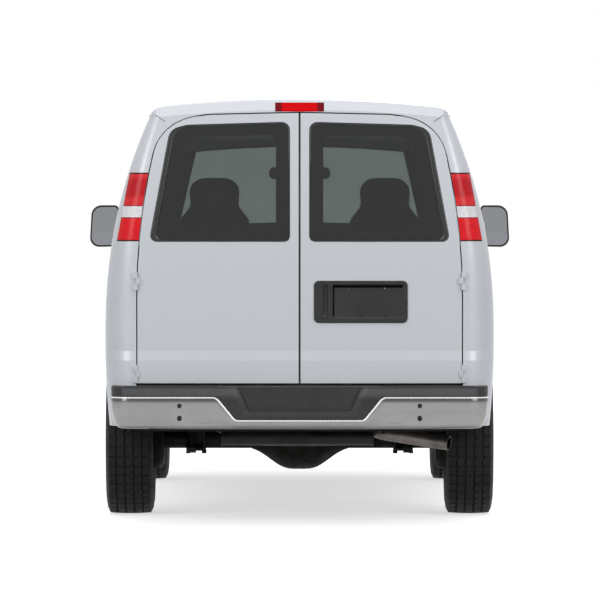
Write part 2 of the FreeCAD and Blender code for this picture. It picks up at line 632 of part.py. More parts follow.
def firewall():
    wall = box(-1000, 1000, FIREWALL_Y + SEAT_GAP, FIREWALL_Y + 12, FLOOR_Z - FLOOR_THICKNESS, FENDER_TOP_Z + 8)
    shelf = box(-1000, 1000, FIREWALL_Y + SEAT_GAP, BONNET_REAR_Y - 8, FENDER_TOP_Z - 6, FENDER_TOP_Z + 8)
    void = arch(FRONT_WELL_X - WELL_WALL - SEAT_GAP, 1300, FRONT_AXLE_Y, ARCH_RADIUS + WELL_WALL + SEAT_GAP)
    return TRIM_CLOSE.common(wall.fuse(shelf)).cut([void, mirrored(void)])


def front_wells():
    return wheel_well(FRONT_AXLE_Y, FRONT_WELL_X, FRONT_WELL_LOW_Z, INNER)


# Doors

def rear_door():
    prism = prism_y(REAR_DOOR, -2900, -2400)
    narrower = prism_y(grown(REAR_DOOR, -DOOR_EDGE_STEP), -2900, -2400)
    wider = prism_y(grown(REAR_DOOR, 20), -2900, -2400)
    panel = door_panel(prism, narrower, wider)
    return panel.cut(prism_y(REAR_WINDOW, -2900, -2400, [45, 60, 50, 0, 45]))


def rear_glass():
    return glass_in(prism_y(grown(REAR_WINDOW, -SEAT_GAP), -2900, -2400, [45, 60, 50, 0, 45]))


def plate_holes():
    cx, cz, across, high, radius = PLATE_HOLES
    return [cylinder((cx + i * across / 2, -2720, cz + j * high / 2), (cx + i * across / 2, REAR_FACE_Y + 45,
                                                                       cz + j * high / 2), radius)
            for i in (-1, 1) for j in (-1, 1)]


def roof_holes():
    cx, cy, across, along, radius = ROOF_HOLES
    return [cylinder((cx + i * across / 2, cy + j * along / 2, 2000), (cx + i * across / 2, cy + j * along / 2, 2200),
                     radius) for i in (-1, 1) for j in (-1, 1)]


def plate_bezel():
    proud = plan_solid(-10.0).common(prism_y(PLATE_BEZEL, -2800, -2620, 14)).cut(plan_solid(0.0))
    recess = prism_y(PLATE_RECESS, -2800, REAR_FACE_Y - 3, 8).fuse(prism_y(HANDLE_RECESS, -2800, REAR_FACE_Y - 3, 8))
    return proud.translated(FreeCAD.Vector(0, -SEAT_GAP, 0)).cut([recess] + plate_holes())


def front_door():
    panel = side_panel(FRONT_DOOR, 600, 1200, 18)
    return panel.cut(prism_x(FRONT_DOOR_WINDOW, 600, 1200, 34))


def front_glass():
    return glass_in(prism_x(grown(FRONT_DOOR_WINDOW, -SEAT_GAP), 600, 1200, 34))


def door_mirror():
    head = prism_y([(1016, 1341), (1187, 1337), (1187, 1575), (1016, 1575)], 1332, 1392, [20, 45, 48, 26])
    hollow = prism_y([(1026, 1351), (1177, 1347), (1177, 1565), (1026, 1565)], 1330, 1338, [10, 35, 38, 16])
    arm = box(900, 1020, 1344, 1388, 1346, 1396)
    return head.cut(hollow).fuse(arm).cut(OUTER)


def bonnet():
    panel = OUTER.common(prism_z(BONNET, 900, 1600, 54)).cut(UNDER_BONNET)
    return panel


def fuel_lid():
    return OUTER.common(prism_x(FUEL_LID, -1200, -600, 14)).cut(UNDER_SKIN)


# Lamps, grille and bumpers

def high_lamp():
    return SHELL.common(prism_y(HIGH_LAMP, -2800, -2540))


def grille(shell_part):
    slots = []
    for row in range(5):
        low = 752 + row * 46
        slots.append(box(-520, 520, 2500, 3000, low, low + 26))
    return shell_part.cut(slots)


def rear_bumper():
    plan = [(-938, -2600), (-938, BUMPER_REAR_Y), (938, BUMPER_REAR_Y), (938, -2600)]
    inner = [(-932, -2500), (-932, BUMPER_REAR_Y + 6), (932, BUMPER_REAR_Y + 6), (932, -2500)]
    band = prism_z(plan, 492, 651, [0, 95, 95, 0]).cut(prism_z(inner, 480, 660, [0, 89, 89, 0]))
    dip = prism_y([(-414, 700), (-414, 651), (-320, 535), (320, 535), (414, 651), (414, 700)], -2900, -2700)
    band = band.cut([dip, envelope_slice(MOVE_GAP)])
    bracket = box(RAIL_INNER_X, RAIL_OUTER_X, BUMPER_REAR_Y + 5, -2640 - SEAT_GAP, 520, 600)
    return band.fuse([bracket, mirrored(bracket)])


def bumper_pad():
    plan = [(-937, -2610), (-937, BUMPER_REAR_Y + 1), (937, BUMPER_REAR_Y + 1), (937, -2610)]
    top = prism_z(plan, 651 + SEAT_GAP, 703, [0, 94, 94, 0]).cut(
        [box(-830, 830, REAR_FACE_Y - REAR_SHOULDER - 9, -2500, 600, 800), envelope_slice(MOVE_GAP)])
    tub = prism_y([(-413, 651.3), (-319, 535.3), (319, 535.3), (413, 651.3)], BUMPER_REAR_Y + 1, -2700)
    hollow = prism_y([(-262, 660), (-262, 690), (262, 690), (262, 660)], -2900, BUMPER_REAR_Y + 1)
    recess = prism_y([(-332, 720), (-262, 572), (262, 572), (332, 720)], BUMPER_REAR_Y - 20, BUMPER_REAR_Y + 31)
    floor = box(-395, 395, BUMPER_REAR_Y + 20, -2700, 600, 651.4)
    return top.fuse([tub, floor]).cut([recess, hollow])


def envelope_slice(gap):
    """The body's plan grown by a gap, at bumper height."""
    return lower_plan(-gap).common(box(-1200, 1200, -2800, -2400, 480, 720))


def front_bumper():
    plan = [(-935, 2375), (-950, 2560), (-880, 2700), (-700, 2800), (0, BUMPER_FRONT_Y), (700, 2800), (880, 2700),
            (950, 2560), (935, 2375)]
    inner = [(-865, 2350), (-865, 2560), (-800, 2640), (-660, 2730), (0, 2776), (660, 2730), (800, 2640),
             (865, 2560), (865, 2350)]
    rounding = [0, 60, 120, 200, 0, 200, 120, 60, 0]
    bar = prism_z(plan, 425, BUMPER_TOP_Z - SEAT_GAP, rounding).cut(prism_z(inner, 400, 700, rounding))
    bracket = box(RAIL_INNER_X, RAIL_OUTER_X, 2560 + SEAT_GAP, 2770, 520, 600)
    return bar.fuse([bracket, mirrored(bracket)])


# Frame and running gear

def frame_rails():
    rail = box(RAIL_INNER_X, RAIL_OUTER_X, -2640, 2560, RAIL_BOTTOM_Z, RAIL_TOP_Z)
    hollow = box(RAIL_INNER_X + RAIL_WALL, RAIL_OUTER_X - RAIL_WALL, -2640 + RAIL_WALL, 2560 - RAIL_WALL,
                 RAIL_BOTTOM_Z + RAIL_WALL, RAIL_TOP_Z - RAIL_WALL)
    rail = rail.cut(hollow)
    cross = [box(-RAIL_INNER_X - 2, RAIL_INNER_X + 2, y - 40, y + 40, 520, 600) for y in (-2590, -250, 760, 1600)]
    mounts = [box(side * 465 - 35, side * 465 + 35, y - 45, y + 45, RAIL_TOP_Z - 1, FLOOR_Z - FLOOR_THICKNESS)
              for y in (-2480, -1000, -250, 760, 1350) for side in (-1, 1)]
    carrier = box(-RAIL_OUTER_X, RAIL_OUTER_X, -2190, -2110, 636, 652)
    posts = [box(side * 465 - 35, side * 465 + 35, -2190, -2110, RAIL_TOP_Z - 1, 640) for side in (-1, 1)]
    return fused([rail, mirrored(rail)] + cross + mounts + [carrier] + posts)


def spare_tyre():
    ring = [(-95, 203), (-108, 262), (-122, 300), (-116, 345), (-98, 374), (-90, TYRE_RADIUS), (90, TYRE_RADIUS),
            (98, 374), (116, 345), (122, 300), (108, 262), (95, 203)]
    face = Part.Face(Part.makePolygon([Vector(r, -2150, 513 + z) for z, r in ring + ring[:1]]))
    ring_solid = face.revolve(Vector(0, -2150, 0), Vector(0, 0, 1), 360)
    disc = Part.makeCylinder(203, 12, Vector(0, -2150, 480))
    post = Part.makeCylinder(30, 636 - 492, Vector(0, -2150, 492))
    return ring_solid.fuse([disc, post])


def rear_axle():
    profile = [(-250, 47), (-165, 92), (-70, 148), (0, 153), (70, 148), (165, 92), (250, 47)]
    curve = Part.BSplineCurve()
    curve.interpolate(Points=[Vector(x, REAR_AXLE_Y, AXLE_Z + r) for x, r in profile])
    low = [Vector(250, REAR_AXLE_Y, AXLE_Z), Vector(-250, REAR_AXLE_Y, AXLE_Z)]
    edges = [curve.toShape(), Part.makeLine(Vector(250, REAR_AXLE_Y, AXLE_Z + 47), low[0]),
             Part.makeLine(low[0], low[1]), Part.makeLine(low[1], Vector(-250, REAR_AXLE_Y, AXLE_Z + 47))]
    casing = Part.Face(Part.Wire(edges)).revolve(Vector(0, REAR_AXLE_Y, AXLE_Z), Vector(1, 0, 0), 360)
    hub_end = WHEEL_X + WHEEL_OFFSET + 15
    parts = [casing, cylinder((-hub_end, REAR_AXLE_Y, AXLE_Z), (hub_end, REAR_AXLE_Y, AXLE_Z), 45)]
    parts.append(cylinder((0, REAR_AXLE_Y, AXLE_Z), (0, REAR_AXLE_Y + 230, AXLE_Z + 4), 60))
    for side in (-1, 1):
        parts.append(cylinder((side * 776, REAR_AXLE_Y, AXLE_Z), (side * (WHEEL_X + WHEEL_OFFSET - 0.5), REAR_AXLE_Y,
                                                                  AXLE_Z), 158))
        parts.append(cylinder((side * 860, REAR_AXLE_Y, AXLE_Z), (side * hub_end, REAR_AXLE_Y, AXLE_Z), HUB_R))
        parts.append(box(side * 535 - 36, side * 535 + 36, REAR_AXLE_Y - 55, REAR_AXLE_Y + 55, AXLE_Z, 434))
    return fused(parts)


def leaf_spring():
    """One arched leaf pack with eyes, a front hanger and a rear shackle."""
    centre = 535.0

    def arc_strip(base, thickness, half):
        lower = Part.Arc(Vector(centre - 32, REAR_AXLE_Y - half, base + half * half * 1.3e-4),
                         Vector(centre - 32, REAR_AXLE_Y, base),
                         Vector(centre - 32, REAR_AXLE_Y + half, base + half * half * 1.3e-4)).toShape()
        upper = lower.copy()
        upper.translate(Vector(0, 0, thickness))
        a0, a1 = lower.Vertexes[0].Point, lower.Vertexes[-1].Point
        b0, b1 = upper.Vertexes[0].Point, upper.Vertexes[-1].Point
        face = Part.Face(Part.Wire(Part.__sortEdges__([lower, upper, Part.makeLine(a0, b0), Part.makeLine(a1, b1)])))
        return face.extrude(Vector(64, 0, 0))

    parts = [arc_strip(434 + SEAT_GAP, 12, 420), arc_strip(446, 12, 560), arc_strip(458, 11, 690)]
    for end in (-1, 1):
        y, z = REAR_AXLE_Y + end * 690, 458 + 690 * 690 * 1.3e-4 + 6
        parts.append(cylinder((centre - 32, y, z), (centre + 32, y, z), 24))
        parts.append(box(RAIL_OUTER_X + SEAT_GAP, centre + 38, y - 34, y + 34, z - 6, RAIL_TOP_Z - 6))
    parts.append(cylinder((560, REAR_AXLE_Y - 60, 440), (545, REAR_AXLE_Y - 220, 600), 26))
    parts.append(box(RAIL_OUTER_X + SEAT_GAP, 572, REAR_AXLE_Y - 250, REAR_AXLE_Y - 190, 585, 612))
    return fused(parts)


def engine_block():
    return box(-250, 250, 1790, 2470, 430, 1010)


def driveline():
    gearbox = prism_x([(1789.7, 440), (1789.7, 690), (1650, 690), (1050, 560), (1050, 440)], -140, 140)
    nose = Vector(0, 230, 4)
    nose_end = Vector(0, REAR_AXLE_Y, AXLE_Z) + nose * ((nose.Length + SEAT_GAP) / nose.Length)
    shaft = cylinder((0, 1049, 485), (0, REAR_AXLE_Y + 200, AXLE_Z + 4), 40)
    shaft = shaft.cut(Part.makeCylinder(80, nose.Length, nose_end - nose, nose))
    return gearbox.cut(box(-200, 200, 1550, 1650, 500, 620)).fuse(shaft)


def swept_pipe(points, radius, bore):
    path = Part.Wire(outline_open(points))
    start = Vector(*points[0])
    direction = Vector(*points[1]) - start
    ring = Part.Wire(Part.Circle(start, direction, radius).toShape())
    solid = path.makePipeShell([ring], True, True, 2)
    if bore > 0:
        hole = Part.Wire(Part.Circle(start, direction, bore).toShape())
        solid = solid.cut(path.makePipeShell([hole], True, True, 2))
    return solid


def outline_open(points):
    """Straight runs joined by arcs, for a pipe's centre line."""
    bend = 110.0
    pts = [Vector(*p) for p in points]
    edges = []
    last = pts[0]
    for i in range(1, len(pts) - 1):
        a = (pts[i - 1] - pts[i]).normalize()
        b = (pts[i + 1] - pts[i]).normalize()
        half = math.acos(max(-1.0, min(1.0, a.dot(b)))) / 2
        back = bend / math.tan(half)
        middle = (a + b).normalize() * (bend / math.sin(half) - bend)
        edges.append(Part.makeLine(last, pts[i] + a * back))
        edges.append(Part.Arc(pts[i] + a * back, pts[i] + middle, pts[i] + b * back).toShape())
        last = pts[i] + b * back
    edges.append(Part.makeLine(last, pts[-1]))
    return edges


def exhaust():
    front = swept_pipe([(300, 1500, 460), (300, 700, 455), (300, 250, 455)], 36, 0)
    muffler = prism_y([(170, 395), (410, 395), (410, 505), (170, 505)], -420, 250, 50)
    tail = swept_pipe([(330, -415, 460), (330, -1150, 480), (340, -1620, 488), (400, -1950, 440), (760, -2075, 388)],
                      37.5, 33)
    hanger = box(280, 320, -270, -230, 490, 519.7)
    return front.fuse([muffler, tail, hanger])


def fuel_tank():
    tank = prism_x([(-180, 330), (700, 330), (700, 590), (-180, 590)], -RAIL_INNER_X + SEAT_GAP, -90, 40)
    return tank.cut(box(-500, 0, -300, -200, 515, 700)).cut(box(-500, 0, 714, 806, 500, 700))


def front_suspension():
    cross = box(-486, 486, FRONT_AXLE_Y - 60, FRONT_AXLE_Y + 60, 228, 300)
    pad = box(-150, 150, FRONT_AXLE_Y - 50, FRONT_AXLE_Y + 50, 299, 430 - SEAT_GAP)
    tower = box(440, 486, FRONT_AXLE_Y - 70, FRONT_AXLE_Y + 70, 228, RAIL_BOTTOM_Z - SEAT_GAP)
    plate = box(505, 516, FRONT_AXLE_Y - 120, FRONT_AXLE_Y + 120, 470, 600).fuse(
        box(480, 516, FRONT_AXLE_Y - 70, FRONT_AXLE_Y + 70, 470, RAIL_BOTTOM_Z - SEAT_GAP))
    y = FRONT_AXLE_Y

    def arm(base_x, half, z0, z1):
        return prism_z([(base_x, y - half), (700, y - 48), (KINGPIN_X, y - 30), (KINGPIN_X + 26, y),
                        (KINGPIN_X, y + 30), (700, y + 48), (base_x, y + half)], z0, z1)

    lower_top = AXLE_Z - KNUCKLE_HALF - 8
    upper_low = AXLE_Z + KNUCKLE_HALF + 8
    lower = arm(470, 130, lower_top - 22, lower_top)
    upper = arm(500, 100, upper_low, upper_low + 18)
    coil = cylinder((600, y, lower_top - 2), (590, y, 520), 42)
    pins = [cylinder((KINGPIN_X, y, lower_top - 1), (KINGPIN_X, y, AXLE_Z - KNUCKLE_HALF - SEAT_GAP), 14),
            cylinder((KINGPIN_X, y, AXLE_Z + KNUCKLE_HALF + SEAT_GAP), (KINGPIN_X, y, upper_low + 1), 14)]
    side = fused([tower, plate, lower, upper, coil] + pins)
    return fused([cross, pad, side, mirrored(side)])


def knuckle():
    y = FRONT_AXLE_Y
    hub_end = WHEEL_X + WHEEL_OFFSET + 15
    upright = box(745, 800, y - 42, y + 42, AXLE_Z - KNUCKLE_HALF, AXLE_Z + KNUCKLE_HALF)
    spindle = cylinder((790, y, AXLE_Z), (hub_end, y, AXLE_Z), 34)
    hub = cylinder((860, y, AXLE_Z), (hub_end, y, AXLE_Z), HUB_R)
    disc = cylinder((822, y, AXLE_Z), (848, y, AXLE_Z), 158)
    flange = cylinder((846, y, AXLE_Z), (WHEEL_X + WHEEL_OFFSET - 0.5, y, AXLE_Z), 105)
    steering_arm = box(700, 745, y - 150, y - 30, 300, 322).fuse(box(730, 760, y - 60, y - 20, 296, 326))
    return fused([upright, spindle, hub, disc, flange, steering_arm])


# Wheels

def wheel_ring():
    x = WHEEL_X
    half = TYRE_WIDTH / 2
    profile = [(-88, RIM_RADIUS + SEAT_GAP), (-94.6, 226), (-112, 258), (-half + 1, 292), (-half, 318), (-half + 7, 350),
               (-half + 18, 369), (-100, 378), (-70, TYRE_RADIUS), (70, TYRE_RADIUS), (100, 378), (half - 18, 369),
               (half - 7, 350), (half, 318), (half - 1, 292), (112, 258), (94.6, 226), (88, RIM_RADIUS + SEAT_GAP)]
    return lathed_x([(x + a, r) for a, r in profile], 0, AXLE_Z)


def rim():
    x = WHEEL_X
    barrel = [(-RIM_HALF, 191), (-RIM_HALF - 7, 191), (-RIM_HALF - 7, 222), (-RIM_HALF, 222), (-RIM_HALF, RIM_RADIUS),
              (RIM_HALF, RIM_RADIUS), (RIM_HALF, 222), (RIM_HALF + 7, 222), (RIM_HALF + 7, 191)]
    face = x + WHEEL_OFFSET
    disc = lathed_x([(face, HUB_R + 0.5), (face, 110), (face + 26, 150), (face + 22, 196), (face + 32, 196),
                     (face + 37, 148), (face + 11, 106), (face + 11, HUB_R + 0.5)], 0, AXLE_Z)
    holes = []
    for i in range(8):
        angle = math.radians(45 * i + 22.5)
        dy, dz = math.cos(angle), math.sin(angle)
        holes.append(cylinder((face - 20, STUD_CIRCLE_R * dy, AXLE_Z + STUD_CIRCLE_R * dz),
                              (face + 60, STUD_CIRCLE_R * dy, AXLE_Z + STUD_CIRCLE_R * dz), STUD_HOLE_R))
        angle = math.radians(45 * i)
        dy, dz = HAND_HOLE_CIRCLE_R * math.cos(angle), HAND_HOLE_CIRCLE_R * math.sin(angle)
        holes.append(cylinder((face - 20, dy, AXLE_Z + dz), (face + 60, dy, AXLE_Z + dz), HAND_HOLE_R))
    return lathed_x([(x + a, r) for a, r in barrel], 0, AXLE_Z).fuse(disc).cut(holes)


def wheels():
    tyre_shape, rim_shape = wheel_ring(), rim()
    for end, y in (("front", FRONT_AXLE_Y), ("rear", REAR_AXLE_Y)):
        for label, shape in (("tyre", tyre_shape), ("wheel", rim_shape)):
            right = shape.copy()
            right.translate(Vector(0, y, 0))
            save(label + "_" + end + "_right", right)
            save(label + "_" + end + "_left", mirrored(right))


# Cab

def dashboard():
    body = prism_x([(1400, 900), (1392, 1120), (1450, 1215), (1560, 1255), (1739.7, 1270), (1739.7, 860)], -1000, 1000)
    dash = TRIM_CLEAR.common(body)
    void = arch(FRONT_WELL_X - WELL_WALL - SEAT_GAP, 1300, FRONT_AXLE_Y, ARCH_RADIUS + WELL_WALL + SEAT_GAP)
    column = cylinder((DRIVER_X, 1420, 1062), (DRIVER_X, 1204, 1172), 32)
    return dash.cut([void, mirrored(void)]).fuse(column)


WHEEL_CENTRE = (DRIVER_X, 1180.0, 1184.2)
COLUMN_DIRECTION = Vector(0, -216, 110).normalize()


def steering_wheel():
    centre = Vector(*WHEEL_CENTRE)
    ring = Part.makeTorus(185, 14, centre, COLUMN_DIRECTION)
    hub = Part.makeCylinder(48, 40, centre - COLUMN_DIRECTION * 26, COLUMN_DIRECTION)
    up = Vector(0, COLUMN_DIRECTION.z, -COLUMN_DIRECTION.y)
    across = Vector(1, 0, 0)
    spokes = []
    for direction in (across, across * -1, up * -1):
        spokes.append(Part.makeCylinder(11, 180, centre, direction))
    return fused([ring, hub] + spokes)


def seat():
    x = DRIVER_X
    base = box(x - 190, x + 190, 610, 980, FLOOR_Z - CAB_FLOOR_DROP, 862)
    cushion = prism_x([(570, 860), (1030, 860), (1045, 985), (590, 965)], x - 245, x + 245, 45)
    back = prism_x([(600, 930), (520, 1560), (635, 1570), (735, 940)], x - 225, x + 225, 40)
    head = prism_y([(x - 142, 1540), (x + 142, 1540), (x + 142, 1700), (x + 105, 1737), (x - 105, 1737),
                    (x - 142, 1700)], 522, 615, 30)
    return fused([base, cushion, back, head])


# Build

body_hinges = {"body_side_left": [], "body_side_right": [], "cowl_panel": []}

shell, tail_lamps, headlamps = body_shell()
roof, clip, cowl, left_side, right_side = main_panels(shell)

axis_y = FRONT_DOOR_FRONT_Y + DOOR_GAP / 2
door_hinges = []
for hinge_z in SIDE_HINGE_Z:
    body, door = side_hinge(axis_y, FRONT_HINGE_TAPER, hinge_z, -1)
    door_hinges.append(door)
    body_hinges["body_side_right"] += body
    body_hinges["body_side_left"] += [mirrored(b) for b in body]
door = front_door().fuse(door_hinges)
glass = front_glass()
side_mirror = door_mirror()
save("front_door_right", door)
save("front_door_left", mirrored(door))
save("front_glass_right", glass)
save("front_glass_left", mirrored(glass))
save("mirror_right", side_mirror)
save("mirror_left", mirrored(side_mirror))

side_leaves = (("side_door_front", SIDE_DOOR_A, SIDE_DOOR_FRONT_Y + DOOR_GAP / 2, SIDE_FRONT_HINGE_TAPER, -1),
               ("side_door_rear", SIDE_DOOR_B, SIDE_DOOR_REAR_Y - DOOR_GAP / 2, SIDE_REAR_HINGE_TAPER, 1))
for name, points, axis_y, taper, towards in side_leaves:
    door_hinges = []
    for hinge_z in SIDE_HINGE_Z:
        body, door = side_hinge(axis_y, taper, hinge_z, towards)
        door_hinges.append(door)
        body_hinges["body_side_right"] += body
    save(name, side_panel(points, 600, 1200, 18).fuse(door_hinges))

rear_hinges = []
for hinge_z in REAR_HINGE_Z:
    where = (REAR_SEAM_X + DOOR_GAP / 2 - 1.5, REAR_FACE_Y + REAR_BOW - REAR_HINGE_STANDOFF, hinge_z)
    body, door = hinge_pair(where, (0, 0, 1), (-1, 0, 0), (0, -1, 0), REAR_HINGE_STANDOFF, REAR_HINGE_REACH)
    rear_hinges.append(door)
    body_hinges["body_side_right"] += body
    body_hinges["body_side_left"] += [mirrored(b) for b in body]
panel = rear_door()
pane = rear_glass()
panel = panel.fuse(rear_hinges)
save("rear_door_right", panel.cut(plate_holes()))
save("rear_door_left", mirrored(panel))
save("rear_glass_right", pane)
save("rear_glass_left", mirrored(pane))
save("plate_bezel", plate_bezel())

bonnet_hinges = []
for hinge_x in (-250.0, 250.0):
    where = (hinge_x, BONNET_REAR_Y - DOOR_GAP / 2, 1384.0)
    body, door = hinge_pair(where, (1, 0, 0), (0, 1, 0), (0, 0, 1), 22)
    bonnet_hinges.append(door)
    body_hinges["cowl_panel"] += body
save("hood", bonnet().fuse(bonnet_hinges))

lid_axis = (-(half_width(1000) * SIDE_FRONT_HINGE_TAPER + 5), FUEL_LID[1][0] + 2, 1007.5)
body, door = hinge_pair(lid_axis, (0, 0, 1), (0, -1, 0), (-1, 0, 0), 5)
body_hinges["body_side_left"] += body
save("fuel_door", fuel_lid().fuse(door))

wells = front_wells()
save("front_clip", clip.fuse([wells, mirrored(wells)]))
save("cowl_panel", cowl.fuse([firewall()] + body_hinges["cowl_panel"]))
save("body_side_left", left_side.fuse(body_hinges["body_side_left"]).cut(roof_holes()))
save("body_side_right", right_side.fuse(body_hinges["body_side_right"]).cut(roof_holes()))
save("roof_panel", roof.cut(roof_holes()))
save("tail_lamps", tail_lamps)
save("headlamps", headlamps)
save("high_mount_lamp", high_lamp())
save("windshield", glass_in(screen_prism(SEAT_GAP)))
quarter = glass_in(prism_x(grown(QUARTER_WINDOW, -SEAT_GAP), 600, 1200, 22))
save("quarter_glasses", on_both_sides(quarter))
save("grille", grille(SHELL.common(prism_y(GRILLE, 2500, 3000))))
save("front_bumper", front_bumper())
save("rear_bumper", rear_bumper())
save("bumper_step_pad", bumper_pad())
save("floor_pan", floor_pan())
save("frame_rails", frame_rails())
save("spare_tyre", spare_tyre())
save("rear_axle", rear_axle())
save("leaf_springs", on_both_sides(leaf_spring()))
save("engine_block", engine_block())
save("driveline", driveline())
save("exhaust", exhaust())
save("fuel_tank", fuel_tank())
save("front_suspension", front_suspension())
save("knuckle_right", knuckle())
save("knuckle_left", mirrored(knuckle()))
save("dashboard", dashboard())
save("steering_wheel", steering_wheel())
save("front_seats", on_both_sides(seat()))
wheels()
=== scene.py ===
import math

import bmesh
import bpy
from mathutils import Matrix, Vector
from mathutils.bvhtree import BVHTree
from mathutils.interpolate import poly_3d_calc


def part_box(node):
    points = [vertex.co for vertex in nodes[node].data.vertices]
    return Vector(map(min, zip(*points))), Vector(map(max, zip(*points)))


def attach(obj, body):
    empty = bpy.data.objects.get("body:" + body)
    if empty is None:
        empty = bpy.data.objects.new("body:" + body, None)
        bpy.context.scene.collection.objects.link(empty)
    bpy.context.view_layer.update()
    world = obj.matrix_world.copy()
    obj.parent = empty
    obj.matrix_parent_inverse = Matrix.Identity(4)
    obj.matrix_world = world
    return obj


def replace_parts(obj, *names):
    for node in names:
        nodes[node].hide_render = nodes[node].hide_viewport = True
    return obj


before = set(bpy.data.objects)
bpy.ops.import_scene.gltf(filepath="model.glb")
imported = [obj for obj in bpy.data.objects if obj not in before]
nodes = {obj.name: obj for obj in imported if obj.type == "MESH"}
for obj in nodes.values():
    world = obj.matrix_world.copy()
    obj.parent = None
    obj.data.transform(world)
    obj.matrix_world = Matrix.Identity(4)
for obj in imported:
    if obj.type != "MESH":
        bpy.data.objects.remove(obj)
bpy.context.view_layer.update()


# Ladder frame, springs and front suspension.
# Pressed steel channels and forged arms under black chassis paint, dulled by road dust;
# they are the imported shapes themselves, so only their finish is set here.

def new_finish(name, colour, roughness, metallic=0.0, coat=0.0, coat_roughness=0.03, specular=0.5):
    """A shader for one finish. Values that are the same all over sit on the shader's own sockets."""
    finish = bpy.data.materials.new(name)
    finish.use_nodes = True
    shader = finish.node_tree.nodes["Principled BSDF"]
    shader.inputs["Base Color"].default_value = (*colour, 1.0)
    shader.inputs["Roughness"].default_value = roughness
    shader.inputs["Metallic"].default_value = metallic
    shader.inputs["Coat Weight"].default_value = coat
    shader.inputs["Coat Roughness"].default_value = coat_roughness
    shader.inputs["Specular IOR Level"].default_value = specular
    return finish, finish.node_tree, shader


def grain(tree, scale, detail=3.0, stretch=(1.0, 1.0, 1.0)):
    """Noise on object coordinates; a stretch above 1 packs it closer along that axis."""
    place = tree.nodes.new("ShaderNodeTexCoord")
    mapping = tree.nodes.new("ShaderNodeMapping")
    mapping.inputs["Scale"].default_value = stretch
    noise = tree.nodes.new("ShaderNodeTexNoise")
    noise.inputs["Scale"].default_value = scale
    noise.inputs["Detail"].default_value = detail
    tree.links.new(place.outputs["Object"], mapping.inputs["Vector"])
    tree.links.new(mapping.outputs["Vector"], noise.inputs["Vector"])
    return noise.outputs["Fac"]


def between(tree, value, low, high, out_low=0.0, out_high=1.0):
    """A value brought from one range to another, and held at its ends."""
    spread = tree.nodes.new("ShaderNodeMapRange")
    tree.links.new(value, spread.inputs["Value"])
    spread.inputs["From Min"].default_value = low
    spread.inputs["From Max"].default_value = high
    spread.inputs["To Min"].default_value = out_low
    spread.inputs["To Max"].default_value = out_high
    return spread.outputs["Result"]


def blended(tree, factor, first, second):
    """One colour turning into another; each is a colour or a socket."""
    mix = tree.nodes.new("ShaderNodeMix")
    mix.data_type = "RGBA"
    tree.links.new(factor, mix.inputs["Factor"])
    for socket, colour in ((mix.inputs["A"], first), (mix.inputs["B"], second)):
        if isinstance(colour, tuple):
            socket.default_value = (*colour, 1.0)
        else:
            tree.links.new(colour, socket)
    return mix.outputs["Result"]


def laid(tree, shader, colour=None, roughness=None, bump=None):
    """Lead sockets to a shader's colour and roughness; a bump is a height, its strength and its depth in metres."""
    if colour is not None:
        tree.links.new(colour, shader.inputs["Base Color"])
    if roughness is not None:
        tree.links.new(roughness, shader.inputs["Roughness"])
    if bump:
        height, strength, depth = bump
        raised = tree.nodes.new("ShaderNodeBump")
        raised.inputs["Strength"].default_value = strength
        raised.inputs["Distance"].default_value = depth
        tree.links.new(height, raised.inputs["Height"])
        tree.links.new(raised.outputs["Normal"], shader.inputs["Normal"])


def weathered(name, clean, dusty, wear, rough, skin, metallic=0.0, specular=0.2):
    """A finish that turns dusty and rougher in patches.
    wear is the patches' noise and the part of its range that counts; skin is a fine noise, its strength and depth."""
    finish, tree, shader = new_finish(name, clean, rough[0], metallic, specular=specular)
    scale, detail, start, full = wear
    patches = between(tree, grain(tree, scale, detail), start, full)
    noise, strength, depth = skin
    laid(tree, shader, blended(tree, patches, clean, dusty), between(tree, patches, 0.0, 1.0, *rough),
         (grain(tree, *noise), strength, depth))
    return finish


def dress(finish, *names):
    """Gives CAD nodes their finish."""
    for name in names:
        mesh = nodes[name].data
        mesh.materials.clear()
        mesh.materials.append(finish)


CHASSIS_BLACK = weathered("chassis black", (0.010, 0.010, 0.010), (0.034, 0.031, 0.027), (9.0, 6.0, 0.42, 0.72),
                          (0.45, 0.8), ((160.0,), 0.25, 0.001))
dress(CHASSIS_BLACK, "frame_rails", "leaf_springs", "front_suspension")


# Axle casing, knuckles, gearbox and engine.
# Cast iron and alloy with a sandy skin, brown-black with oil and dust.

CAST_METAL = weathered("cast metal", (0.007, 0.0065, 0.006), (0.022, 0.019, 0.016), (14.0, 6.0, 0.35, 0.7),
                       (0.5, 0.85), ((420.0, 2.0), 0.4, 0.001), specular=0.15)
dress(CAST_METAL, "rear_axle", "knuckle_left", "knuckle_right", "driveline", "engine_block")


# Axle cover bolts, spring U-bolts and shock absorber mounts.
# Ten cap screws hold the rounded cover at the back of the axle; two U-bolts clamp each leaf pack.

def new_piece(name, mesh, finish, body, smooth=True):
    """A finished piece that stands at the origin and rides on a body."""
    if smooth:
        mesh.polygons.foreach_set("use_smooth", [True] * len(mesh.polygons))
        mesh.set_sharp_from_angle(angle=math.radians(38))
    mesh.materials.clear()
    mesh.materials.append(finish)
    piece = bpy.data.objects.new(name, mesh)
    bpy.context.scene.collection.objects.link(piece)
    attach(piece, body)
    return piece


def mesh_from(name, bm, recalculate=True):
    if recalculate:
        bmesh.ops.recalc_face_normals(bm, faces=bm.faces)
    mesh = bpy.data.meshes.new(name)
    bm.to_mesh(mesh)
    bm.free()
    return mesh


def circle(bm, centre, across, upward, radius, count):
    """A ring of points round a centre, in the plane of two directions."""
    angles = [math.tau * k / count for k in range(count)]
    return [bm.verts.new(centre + (across * math.cos(a) + upward * math.sin(a)) * radius) for a in angles]


